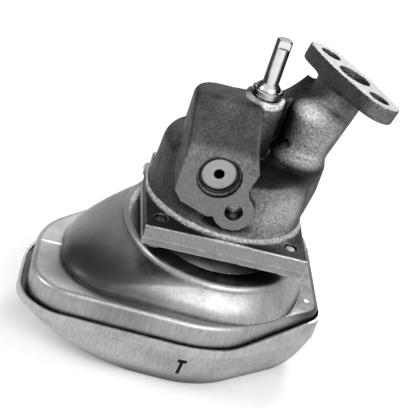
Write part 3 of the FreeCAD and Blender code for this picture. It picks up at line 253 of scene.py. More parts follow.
class EffectLibrary:
    """Builds each shared node group once and places it in materials."""

    edge_radius: float = 0.0009
    speckle_scale: float = 820.0
    swell_scale: float = 130.0
    flat_enough: float = 0.985

    def __init__(self) -> None:
        """Build every group."""
        self.groups = {
            Effect.CAST_GRAIN: self._cast_grain(),
            Effect.EDGE_WEAR_AND_SHEEN: self._edge_wear_and_sheen(),
            Effect.OIL_STAIN: self._oil_stain(),
            Effect.TURNED_MARKS: self._turned_marks(),
            Effect.DRAWN_MARKS: self._drawn_marks(),
            Effect.MACHINED_FACE: self._machined_face(),
            Effect.SOFT_PATCH: self._soft_patch(),
            Effect.CAVITY: self._cavity(),
            Effect.FACING_LIGHT: self._facing_light(),
        }

    def place(self, graph: Graph, effect: Effect, **values: Feed) -> bpy.types.Node:
        """Put an effect in a material with its own values.

        Args:
            graph: the material's graph.
            effect: which group to place.
            values: input names, with _ for a space, and their values.

        Returns:
            The group node.
        """
        node = graph.tree.nodes.new("ShaderNodeGroup")
        node.node_tree = self.groups[effect]
        for name, value in values.items():
            graph.feed(node.inputs[name.replace("_", " ")], value)
        return node

    def mask(self, graph: Graph, effect: Effect, **values: Feed) -> Socket:
        """Place an effect and read its mask."""
        return self.place(graph, effect, **values).outputs["Mask"]

    @staticmethod
    def _start(effect: Effect, inputs: dict[str, float | tuple], outputs: Sequence[str] = ("Mask",)
               ) -> tuple[Graph, bpy.types.Node, bpy.types.Node]:
        """Make an empty group with its named sockets.

        Args:
            effect: the effect that the group is for.
            inputs: input names and default values; a triple makes a vector socket.
            outputs: names of the value outputs.

        Returns:
            The graph, the group's input node and its output node.
        """
        tree = bpy.data.node_groups.new(effect.value, "ShaderNodeTree")
        for name, value in inputs.items():
            kind = "NodeSocketVector" if isinstance(value, tuple) else "NodeSocketFloat"
            socket = tree.interface.new_socket(name, in_out="INPUT", socket_type=kind)
            socket.default_value = value
        for name in outputs:
            tree.interface.new_socket(name, in_out="OUTPUT", socket_type="NodeSocketFloat")
        graph = Graph(tree)
        return graph, tree.nodes.new("NodeGroupInput"), tree.nodes.new("NodeGroupOutput")

    def _cast_grain(self) -> bpy.types.NodeTree:
        """Sand-cast skin: fine grains, a few pits and slow swells.

        Returns:
            The group's tree.
        """
        graph, enter, leave = self._start(
            Effect.CAST_GRAIN, {"Grain": 900.0, "Pits": 0.35}, ("Height", "Shade", "Speckle"))
        where = graph.place()
        fine = graph.noise(where, enter.outputs["Grain"], 4.0, 0.62)
        swell = graph.noise(where, self.swell_scale, 2.0)
        cells = graph.add("TexVoronoi", Vector=where, Scale=graph.times(enter.outputs["Grain"], 0.55))
        solid = graph.ramp(cells.outputs["Distance"], 0.05, 0.32)
        sunk = graph.times(graph.less(1.0, solid), enter.outputs["Pits"])
        bumps = graph.plus(fine, graph.times(swell, 0.6))
        graph.feed(leave.inputs["Height"], graph.less(bumps, sunk))
        graph.feed(leave.inputs["Shade"], graph.ramp(graph.plus(fine, graph.times(swell, 0.5)), 0.55, 0.98))
        graph.feed(leave.inputs["Speckle"], graph.noise(where, self.speckle_scale, 2.0))
        return graph.tree

    def _edge_wear_and_sheen(self) -> bpy.types.NodeTree:
        """Mask of rounded edges, from how far a rounded normal leaves the true one, for worn edges and
        painted highlights on them.

        Returns:
            The group's tree.
        """
        graph, enter, leave = self._start(Effect.EDGE_WEAR_AND_SHEEN, {"Start": 0.02, "Full": 0.16, "Breakup": 350.0})
        round_normal = graph.add("Bevel", {"samples": 4}, Radius=self.edge_radius).outputs["Normal"]
        true_normal = graph.add("NewGeometry").outputs["Normal"]
        turn = graph.less(1.0, graph.dot(round_normal, true_normal))
        rounded_edge = graph.ramp(turn, enter.outputs["Start"], enter.outputs["Full"])
        broken = graph.ramp(graph.noise(graph.place(), enter.outputs["Breakup"]), 0.34, 0.58)
        graph.feed(leave.inputs["Mask"], graph.times(rounded_edge, broken))
        return graph.tree

    def _oil_stain(self) -> bpy.types.NodeTree:
        """Broad, soft patches where oil and handling darken a surface.

        Returns:
            The group's tree.
        """
        graph, enter, leave = self._start(Effect.OIL_STAIN, {"Size": 34.0, "Cover": 0.5}, ("Mask", "Smear"))
        where = graph.place()
        broad = graph.noise(where, enter.outputs["Size"], 5.0, 0.6)
        edge = graph.less(1.0, enter.outputs["Cover"])
        graph.feed(leave.inputs["Mask"], graph.ramp(broad, graph.less(edge, 0.14), graph.plus(edge, 0.14)))
        graph.feed(leave.inputs["Smear"], graph.noise(where, 190.0, 6.0, 0.7))
        return graph.tree

    def _turned_marks(self) -> bpy.types.NodeTree:
        """Fine rings left by a lathe tool round an axis through a point.

        Returns:
            The group's tree.
        """
        graph, enter, leave = self._start(
            Effect.TURNED_MARKS, {"Centre": (0.0, 0.0, 0.0), "Axis": (0.0, 0.0, 1.0), "Pitch": 0.0004},
            ("Height", "Shade"))
        arm = graph.vector("SUBTRACT", graph.place(), enter.outputs["Centre"])
        along = graph.dot(arm, enter.outputs["Axis"])
        across = graph.length(graph.vector("CROSS_PRODUCT", arm, enter.outputs["Axis"]))
        rings = graph.maths("DIVIDE", graph.plus(along, across), enter.outputs["Pitch"])
        fine = graph.noise(graph.add("CombineXYZ", X=rings).outputs[0], 1.0, 2.0)
        graph.feed(leave.inputs["Height"], fine)
        graph.feed(leave.inputs["Shade"], graph.ramp(fine, 0.3, 0.7))
        return graph.tree

    def _drawn_marks(self) -> bpy.types.NodeTree:
        """Long streaks that drawing and rolling leave in sheet.

        Returns:
            The group's tree.
        """
        graph, enter, leave = self._start(
            Effect.DRAWN_MARKS, {"Stretch": (14.0, 14.0, 1.6), "Grain": 60.0}, ("Height", "Shade"))
        pulled = graph.vector("MULTIPLY", graph.place(), enter.outputs["Stretch"])
        streaks = graph.noise(pulled, enter.outputs["Grain"], 5.0, 0.6)
        graph.feed(leave.inputs["Height"], streaks)
        graph.feed(leave.inputs["Shade"], graph.ramp(streaks, 0.35, 0.68))
        return graph.tree

    def _machined_face(self) -> bpy.types.NodeTree:
        """Mask of a flat cut face, from its plane and the way it looks.

        Returns:
            The group's tree.
        """
        graph, enter, leave = self._start(
            Effect.MACHINED_FACE, {"Point": (0.0, 0.0, 0.0), "Normal": (0.0, 0.0, 1.0), "Depth": 0.0003})
        arm = graph.vector("SUBTRACT", graph.place(), enter.outputs["Point"])
        away = graph.maths("ABSOLUTE", graph.dot(arm, enter.outputs["Normal"]))
        near = graph.maths("LESS_THAN", away, enter.outputs["Depth"])
        aligned = graph.dot(graph.facing(), enter.outputs["Normal"])
        flat = graph.maths("GREATER_THAN", aligned, self.flat_enough)
        graph.feed(leave.inputs["Mask"], graph.times(near, flat))
        return graph.tree

    def _cavity(self) -> bpy.types.NodeTree:
        """Mask of corners and recesses, for painted shade laid there.

        Returns:
            The group's tree.
        """
        graph, enter, leave = self._start(Effect.CAVITY, {"Reach": 0.012, "Open": 0.85, "Shut": 0.3})
        shade = graph.add("AmbientOcclusion", {"samples": 6}, Distance=enter.outputs["Reach"]).outputs["AO"]
        mask = graph.ramp(shade, enter.outputs["Shut"], enter.outputs["Open"], 1.0, 0.0)
        graph.feed(leave.inputs["Mask"], mask)
        return graph.tree

    def _facing_light(self) -> bpy.types.NodeTree:
        """Mask of the faces turned one way, a little blotchy, for painted light and shade by direction.

        Returns:
            The group's tree.
        """
        graph, enter, leave = self._start(
            Effect.FACING_LIGHT, {"Direction": (0.0, 0.0, 1.0), "Low": 0.4, "High": 0.9})
        turned = graph.dot(graph.facing(), enter.outputs["Direction"])
        blotchy = graph.plus(turned, graph.uneven(graph.place(), 90.0, 0.3))
        graph.feed(leave.inputs["Mask"], graph.ramp(blotchy, enter.outputs["Low"], enter.outputs["High"]))
        return graph.tree

    def _soft_patch(self) -> bpy.types.NodeTree:
        """Mask of one soft blob round a point, its rim broken up a little, for painted patches of light and
        shade and for real marks.

        Returns:
            The group's tree.
        """
        graph, enter, leave = self._start(
            Effect.SOFT_PATCH, {"Point": (0.0, 0.0, 0.0), "Reach": (0.02, 0.02, 0.02), "Softness": 0.6})
        where = graph.place()
        arm = graph.vector("SUBTRACT", where, enter.outputs["Point"])
        far = graph.length(graph.vector("DIVIDE", arm, enter.outputs["Reach"]))
        edge = graph.plus(far, graph.uneven(where, 120.0, 0.25))
        inner = graph.less(1.0, enter.outputs["Softness"])
        outer = graph.plus(1.0, enter.outputs["Softness"])
        graph.feed(leave.inputs["Mask"], graph.ramp(edge, inner, outer, 1.0, 0.0))
        return graph.tree


@dataclass(frozen=True)
class Patch:
    """One soft patch of painted light and shade, and for the parting line a real mark: what it is, where it
    lies, how far it reaches and how strong it is.
    """

    mark: str
    point: Triple
    reach: Triple
    tone: Colour
    share: float = 0.7
    softness: float = 0.6

    def lay(self, graph: Graph, effects: EffectLibrary, colour: Feed) -> Socket:
        """Mix the patch over a colour.

        Args:
            graph: the material's graph.
            effects: the shared node groups.
            colour: the colour underneath.

        Returns:
            The socket of the result.
        """
        blob = effects.place(
            graph, Effect.SOFT_PATCH, Point=self.point, Reach=self.reach, Softness=self.softness)
        blob.label = self.mark
        return graph.mix(graph.times(blob.outputs["Mask"], self.share), colour, self.tone)


@dataclass(frozen=True)
class FacingLight:
    """Painted light and shade on the faces turned one way: what it is, its direction, its tone and how strong
    it is.
    """

    mark: str
    direction: Triple
    tone: Colour
    share: float = 0.8
    low: float = 0.4
    high: float = 0.9

    def lay(self, graph: Graph, effects: EffectLibrary, colour: Feed) -> Socket:
        """Mix the painted light and shade over a colour.

        Args:
            graph: the material's graph.
            effects: the shared node groups.
            colour: the colour underneath.

        Returns:
            The socket of the result.
        """
        lit_side = effects.place(
            graph, Effect.FACING_LIGHT, Direction=self.direction, Low=self.low, High=self.high)
        lit_side.label = self.mark
        return graph.mix(graph.times(lit_side.outputs["Mask"], self.share), colour, self.tone)


@dataclass(frozen=True)
class CutFace:
    """One machined face of a casting: a point on it, its outward normal and its tone."""

    point: Triple
    normal: Triple
    tone: float = 0.17


@dataclass(frozen=True)
class Finish:
    """What every finish has: a name, a base colour and how it takes light."""

    name: str
    base: Colour
    metallic: float = 1.0
    roughness: float = 0.4

    def start(self) -> tuple[bpy.types.Material, Graph, bpy.types.Node]:
        """Make the material with a plain shader.

        Returns:
            The material, its graph and its Principled node.
        """
        material = bpy.data.materials.new(self.name)
        material.use_nodes = True
        graph = Graph(material.node_tree)
        shader = material.node_tree.nodes["Principled BSDF"]
        shader.inputs["Metallic"].default_value = self.metallic
        return material, graph, shader

    @staticmethod
    def lay_all(graph: Graph, effects: EffectLibrary, colour: Feed, marks: Sequence[Patch | FacingLight]) -> Feed:
        """Lay painted patches and painted tones by direction over a colour, one after the other.

        Args:
            graph: the material's graph.
            effects: the shared node groups.
            colour: the colour underneath.
            marks: the patches and the tones by direction.

        Returns:
            The colour with all of them on it.
        """
        for mark in marks:
            colour = mark.lay(graph, effects, colour)
        return colour

    @staticmethod
    def recess_shade(graph: Graph, effects: EffectLibrary) -> Socket:
        """Mask of painted shade in wide recesses and in narrow creases.

        Args:
            graph: the material's graph.
            effects: the shared node groups.

        Returns:
            The socket of the mask.
        """
        wide = effects.mask(graph, Effect.CAVITY, Reach=0.014, Open=0.8, Shut=0.25)
        narrow = effects.mask(graph, Effect.CAVITY, Reach=0.0025, Open=0.95, Shut=0.45)
        return graph.maths("MAXIMUM", wide, narrow)

    @staticmethod
    def rim(graph: Graph, colour: Feed, low: float, high: float, share: float, tone: Colour) -> Socket:
        """Mix a painted shade over a colour where the surface turns away from the eye.

        Args:
            graph: the material's graph.
            colour: the colour to darken.
            low: turn at which the tone starts.
            high: turn at which it is full.
            share: how much of the tone is mixed in there.
            tone: the darker tone.

        Returns:
            The socket of the result.
        """
        away = graph.add("LayerWeight", Blend=0.5).outputs["Facing"]
        return graph.mix(graph.ramp(away, low, high, 0.0, share), colour, tone)

    @staticmethod
    def bump(graph: Graph, shader: bpy.types.Node, height: Socket, strength: float, distance: float) -> None:
        """Feed a height to the shader's normal through a Bump node."""
        node = graph.add("Bump", Strength=strength, Distance=distance, Height=height)
        graph.feed(shader.inputs["Normal"], node.outputs["Normal"])


@dataclass(frozen=True)
class CastIron(Finish):
    """Sand-cast grey iron with machined faces, edges lighter as wear and as painted highlight, and oil
    stains.

    Its painted light and shade by patch and by direction lie under the wear and the painted shade in
    recesses, and its painted highlights and painted shadows over them.
    """

    cut_faces: tuple[CutFace, ...] = ()
    worn_and_sheen_colour: Colour = grey(0.42)
    stain_colour: Colour = grey(0.045)
    recess_shade_colour: Colour = grey(0.006)
    rim_shade_colour: Colour = grey(0.01)
    grain: float = 950.0
    recess_shade_share: float = 0.9
    painted_shading: tuple[Patch | FacingLight, ...] = ()
    painted_light_and_marks: tuple[Patch | FacingLight, ...] = ()

    def make(self, effects: EffectLibrary) -> bpy.types.Material:
        """Build the material.

        Args:
            effects: the shared node groups.

        Returns:
            The material.
        """
        material, graph, shader = self.start()
        grain = effects.place(graph, Effect.CAST_GRAIN, Grain=self.grain)
        stain = effects.place(graph, Effect.OIL_STAIN, Size=42.0, Cover=0.46)
        recess_shade = self.recess_shade(graph, effects)
        skin = graph.mix(grain.outputs["Shade"], self.base, shaded(self.base, 2.3))
        # Painted light and shade by patch and by direction, laid under the oil stain and the edges.
        skin = self.lay_all(graph, effects, skin, self.painted_shading)
        skin = graph.mix(graph.times(stain.outputs["Mask"], 0.3), skin, self.stain_colour)
        # Edges lighter, partly worn and partly painted highlight.
        wear_and_sheen = effects.mask(graph, Effect.EDGE_WEAR_AND_SHEEN, Start=0.01, Full=0.08)
        skin = graph.mix(graph.times(wear_and_sheen, 0.6), skin, self.worn_and_sheen_colour)
        # Painted shade: a near-black tone mixed into corners and recesses.
        skin = graph.mix(graph.times(recess_shade, self.recess_shade_share), skin, self.recess_shade_colour)
        # Painted shade where the surface turns away from the eye.
        skin = self.rim(graph, skin, 0.45, 0.9, 0.75, self.rim_shade_colour)
        # Painted highlights and painted shadows, with the dark parting line, laid over everything so far.
        skin = self.lay_all(graph, effects, skin, self.painted_light_and_marks)
        rough = graph.ramp(stain.outputs["Smear"], 0.3, 0.7, self.roughness - 0.08, self.roughness + 0.12)
        skin, height, rough, cut = self.machine(graph, effects, skin, grain.outputs["Height"], rough, recess_shade)
        speckle = graph.ramp(grain.outputs["Speckle"], 0.3, 0.7, 0.72, 1.36)
        evened = graph.plus(speckle, graph.times(graph.less(1.0, speckle), graph.times(cut, 0.75)))
        graph.feed(shader.inputs["Base Color"], graph.scaled(skin, evened))
        graph.feed(shader.inputs["Roughness"], rough)
        self.bump(graph, shader, height, 0.75, 0.001)
        return material

    def machine(self, graph: Graph, effects: EffectLibrary, skin: Feed, height: Feed, rough: Feed,
                recess_shade: Socket) -> tuple[Feed, Feed, Feed, Feed]:
        """Cut the machined faces into the cast skin.

        Args:
            graph: the material's graph.
            effects: the shared node groups.
            skin: the skin's colour.
            height: its height, which the cutter evens out.
            rough: its roughness, which the cutter lowers.
            recess_shade: mask of painted shade in recesses, which lies on the cut faces too.

        Returns:
            The new colour, height and roughness, and the mask of all cut faces.
        """
        marks = effects.place(graph, Effect.DRAWN_MARKS, Stretch=(4.0, 4.0, 4.0), Grain=220.0)
        # Where painted shade lies in a recess, the cut face takes less of its own tone.
        unshaded = graph.less(1.0, graph.times(recess_shade, 0.6))
        cut = 0.0
        for face in self.cut_faces:
            mask = effects.mask(graph, Effect.MACHINED_FACE, Point=face.point, Normal=face.normal)
            tone = graph.mix(marks.outputs["Shade"], grey(face.tone * 0.8), grey(face.tone))
            skin = graph.mix(graph.times(mask, unshaded), skin, tone)
            height = graph.times(height, graph.less(1.0, graph.times(mask, 0.9)))
            rough = graph.less(rough, graph.times(mask, 0.1))
            cut = graph.maths("MAXIMUM", cut, mask)
        return skin, height, rough, cut


@dataclass(frozen=True)
class TurnedSteel(Finish):
    """Ground or turned steel with fine rings round its axis."""

    centre: Triple = (0.0, 0.0, 0.0)
    axis: Triple = (0.0, 0.0, 1.0)
    pitch: float = 0.0004
    depth: float = 0.00004
    recess_shade_colour: Colour = grey(0.02)
    rim_shade_colour: Colour = grey(0.012)

    def make(self, effects: EffectLibrary) -> bpy.types.Material:
        """Build the material.

        Args:
            effects: the shared node groups.

        Returns:
            The material.
        """
        material, graph, shader = self.start()
        marks = effects.place(
            graph, Effect.TURNED_MARKS, Centre=self.centre, Axis=self.axis, Pitch=self.pitch)
        stain = effects.place(graph, Effect.OIL_STAIN, Size=95.0, Cover=0.32)
        colour = graph.mix(marks.outputs["Shade"], shaded(self.base, 0.74), self.base)
        colour = graph.mix(graph.times(stain.outputs["Mask"], 0.5), colour, shaded(self.base, 0.35))
        # Painted shade: a near-black tone mixed into recesses.
        recess_shade = effects.mask(graph, Effect.CAVITY, Reach=0.005)
        colour = graph.mix(graph.times(recess_shade, 0.8), colour, self.recess_shade_colour)
        # Painted shade where the surface turns away from the eye.
        colour = self.rim(graph, colour, 0.12, 0.3, 0.97, self.rim_shade_colour)
        graph.feed(shader.inputs["Base Color"], colour)
        rough = graph.ramp(stain.outputs["Smear"], 0.3, 0.7, self.roughness - 0.06, self.roughness + 0.1)
        graph.feed(shader.inputs["Roughness"], rough)
        self.bump(graph, shader, marks.outputs["Height"], 0.35, self.depth)
        return material


@dataclass(frozen=True)
class SheetSteel(Finish):
    """Rolled or deep-drawn sheet with streaks, handling marks and bright edges, which are partly worn and
    partly painted highlight.

    Its painted shade by patch lies under the painted shade in recesses, and its painted highlights and
    painted light over it.
    """

    stretch: Triple = (14.0, 14.0, 1.6)
    grain: float = 60.0
    depth: float = 0.00006
    stain_colour: Colour = grey(0.05)
    recess_shade_colour: Colour = grey(0.01)
    worn_and_sheen_colour: Colour = grey(0.78)
    stain_share: float = 0.4
    recess_shade_share: float = 0.85
    painted_shading: tuple[Patch | FacingLight, ...] = ()
    painted_light_and_marks: tuple[Patch | FacingLight, ...] = ()

    def make(self, effects: EffectLibrary) -> bpy.types.Material:
        """Build the material.

        Args:
            effects: the shared node groups.

        Returns:
            The material.
        """
        material, graph, shader = self.start()
        marks = effects.place(graph, Effect.DRAWN_MARKS, Stretch=self.stretch, Grain=self.grain)
        stain = effects.place(graph, Effect.OIL_STAIN, Size=21.0, Cover=0.48)
        sheet = graph.mix(marks.outputs["Shade"], self.base, shaded(self.base, 1.22))
        # Painted shade by patch, laid under the recess shade.
        sheet = self.lay_all(graph, effects, sheet, self.painted_shading)
        # Painted shade: a near-black tone mixed into corners and recesses.
        recess_shade = self.recess_shade(graph, effects)
        sheet = graph.mix(graph.times(recess_shade, self.recess_shade_share), sheet, self.recess_shade_colour)
        # Painted highlights and painted light, laid over the recess shade.
        sheet = self.lay_all(graph, effects, sheet, self.painted_light_and_marks)
        sheet = graph.mix(graph.times(stain.outputs["Mask"], self.stain_share), sheet, self.stain_colour)
        # Edges lighter, partly worn and partly painted highlight.
        wear_and_sheen = effects.mask(graph, Effect.EDGE_WEAR_AND_SHEEN, Start=0.06, Full=0.2)
        sheet = graph.mix(graph.times(wear_and_sheen, 0.7), sheet, self.worn_and_sheen_colour)
        graph.feed(shader.inputs["Base Color"], sheet)
        rough = graph.ramp(stain.outputs["Smear"], 0.28, 0.72, self.roughness - 0.07, self.roughness + 0.1)
        graph.feed(shader.inputs["Roughness"], rough)
        self.bump(graph, shader, marks.outputs["Height"], 0.3, self.depth)
        return material


@dataclass(frozen=True)
class PaperGasket(Finish):
    """Oil-soaked fibre paper."""

    stain_colour: Colour = grey(0.05, 0.2)

    def make(self, effects: EffectLibrary) -> bpy.types.Material:
        """Build the material.

        Args:
            effects: the shared node groups.

        Returns:
            The material.
        """
        material, graph, shader = self.start()
        grain = effects.place(graph, Effect.CAST_GRAIN, Grain=2600.0, Pits=0.1)
        stain = effects.place(graph, Effect.OIL_STAIN, Size=70.0, Cover=0.5)
        paper = graph.mix(grain.outputs["Shade"], shaded(self.base, 0.6), self.base)
        paper = graph.mix(graph.times(stain.outputs["Mask"], 0.6), paper, self.stain_colour)
        graph.feed(shader.inputs["Base Color"], paper)
        rough = graph.ramp(stain.outputs["Smear"], 0.3, 0.7, self.roughness - 0.18, self.roughness + 0.1)
        graph.feed(shader.inputs["Roughness"], rough)
        self.bump(graph, shader, grain.outputs["Height"], 0.5, 0.0002)
        return material


def dress(material: bpy.types.Material, *names: str) -> None:
    """Give CAD pieces their material.

    Args:
        material: the finish that they take.
        names: the pieces' node names.
    """
    for name in names:
        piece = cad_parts[name]
        piece.data.materials.clear()
        piece.data.materials.append(material)
        LOG.info("dressed %s in %s", name, material.name)


def stand(name: str, data: bpy.types.ID) -> bpy.types.Object:
    """Put a mesh, lamp or lens in the scene.

    Args:
        name: the object's name.
        data: what it shows.

    Returns:
        The new object.
    """
    item = bpy.data.objects.new(name, data)
    bpy.context.scene.collection.objects.link(item)
    return item


def stand_form(name: str, form: bmesh.types.BMesh) -> bpy.types.Object:
    """Put a form in the scene.

    Args:
        name: name of the object and its mesh.
        form: the form, which is freed.

    Returns:
        The new object.
    """
    data = bpy.data.meshes.new(name)
    form.to_mesh(data)
    form.free()
    return stand(name, data)


def clear_away(item: bpy.types.Object) -> None:
    """Remove a helper and its mesh.

    Args:
        item: the helper.
    """
    data = item.data
    bpy.data.objects.remove(item)
    bpy.data.meshes.remove(data)


@dataclass
class CastSurface:
    """Cast skin over a solid: its corners blended by sand-cast radii, its cut faces left crisp."""

    voxel: float = 0.0005
    quick_coarseness: float = 1.7
    passes: int = 36
    quick_passes: int = 12
    strength: float = 0.5

    def skin(self, source: bpy.types.Object, fuller: bmesh.types.BMesh) -> tuple[np.ndarray, np.ndarray]:
        """Even mesh over a solid and the fuller forms that lie round it.

        Args:
            source: the object that holds the solid's mesh.
            fuller: the forms to add to it, which are freed.

        Returns:
            The corner places and the faces, four corners each.
        """
        fuller.from_mesh(source.data)
        helper = stand_form("skin_helper", fuller)
        remesh = helper.modifiers.new("remesh", "REMESH")
        remesh.mode = "VOXEL"
        remesh.voxel_size = self.voxel * 1.0
        evaluated = helper.evaluated_get(bpy.context.evaluated_depsgraph_get())
        mesh = evaluated.to_mesh()
        places = np.empty(len(mesh.vertices) * 3)
        mesh.vertices.foreach_get("co", places)
        corners = np.empty(len(mesh.loops), dtype=np.int32)
        mesh.loops.foreach_get("vertex_index", corners)
        evaluated.to_mesh_clear()
        clear_away(helper)
        return places.reshape(-1, 3), corners.reshape(-1, 4)

    def blend(self, places: np.ndarray, faces: np.ndarray, freedom: np.ndarray) -> np.ndarray:
        """Blend corners by moving each place towards its neighbours' mean.

        Args:
            places: corner places.
            faces: faces of four corners.
            freedom: how far each place may move, from 0 to 1.

        Returns:
            The new places.
        """
        pairs = np.concatenate([faces[:, (k, (k + 1) % 4)] for k in range(4)])
        starts, ends = pairs[:, 0], pairs[:, 1]
        count = np.maximum(np.bincount(starts, minlength=len(places)), 1)[:, None]
        move = (self.strength * freedom)[:, None]
        moved = places.copy()
        for _ in range(self.passes):
            total = np.stack([np.bincount(starts, weights=moved[ends, axis], minlength=len(moved))
                              for axis in range(3)], axis=1)
            moved += move * (total / count - moved)
        return moved


@dataclass
class NeckForm:
    """Fuller foot and shoulder of the outlet neck, open where the oil passage runs."""

    foot: Triple = (0.026, 0.005, -0.036)
    shoulder: Triple = (0.0298, 0.0075, -0.014)
    foot_radius: float = 0.011
    shoulder_radius: float = 0.0153
    shoulder_rise: float = 0.009
    crown_steps: int = 8
    crown_turn: float = 84.0
    passage_foot: Triple = (0.026, 0.005, -0.039)
    passage_head: Triple = (0.0401, 0.014, -0.0002)
    passage_radius: float = 0.0072
    passage_run_out: float = 0.01
    sides: int = 48

    def revolve(self, stations: Sequence[tuple[Vector, float]], across: Vector, over: Vector
                ) -> bmesh.types.BMesh:
        """Closed round form through stations, each a centre and a radius.

        Args:
            stations: centres and radii from one end to the other.
            across: one direction of the rings.
            over: the other one.

        Returns:
            The form's mesh.
        """
        mesh = bmesh.new()
        turns = [2 * math.pi * number / self.sides for number in range(self.sides)]
        rings = []
        for centre, radius in stations:
            rings.append([mesh.verts.new(centre + radius * (across * math.cos(turn) + over * math.sin(turn)))
                          for turn in turns])
        for low, high in zip(rings, rings[1:]):
            for number in range(self.sides):
                after = (number + 1) % self.sides
                mesh.faces.new((low[number], low[after], high[after], high[number]))
        mesh.faces.new(list(reversed(rings[0])))
        mesh.faces.new(rings[-1])
        return mesh

    def build(self) -> bmesh.types.BMesh:
        """The form with its passage cut out.

        Returns:
            The form's mesh.
        """
        foot, shoulder = Vector(self.foot), Vector(self.shoulder)
        stations = [(foot, self.foot_radius), (shoulder, self.shoulder_radius)]
        for step in range(1, self.crown_steps + 1):
            turn = math.radians(self.crown_turn * step / self.crown_steps)
            rise = Vector((0.0, 0.0, self.shoulder_rise * math.sin(turn)))
            stations.append((shoulder + rise, self.shoulder_radius * math.cos(turn)))
        form = self.revolve(stations, Vector((1.0, 0.0, 0.0)), Vector((0.0, 1.0, 0.0)))
        start, end = Vector(self.passage_foot), Vector(self.passage_head)
        aim = (end - start).normalized()
        across = aim.orthogonal().normalized()
        ends = [(start - aim * self.passage_run_out, self.passage_radius), (end, self.passage_radius)]
        return self.cut(form, self.revolve(ends, across, aim.cross(across)))

    @staticmethod
    def cut(form: bmesh.types.BMesh, waste: bmesh.types.BMesh) -> bmesh.types.BMesh:
        """Cut one form out of another.

        Args:
            form: the form that is cut, which is freed.
            waste: what is taken from it, which is freed.

        Returns:
            A new mesh of what is left.
        """
        solid, cutter = stand_form("form", form), stand_form("form", waste)
        less = solid.modifiers.new("cut", "BOOLEAN")
        less.operation = "DIFFERENCE"
        less.object = cutter
        evaluated = solid.evaluated_get(bpy.context.evaluated_depsgraph_get())
        result = bmesh.new()
        result.from_mesh(evaluated.to_mesh())
        evaluated.to_mesh_clear()
        clear_away(solid)
        clear_away(cutter)
        return result


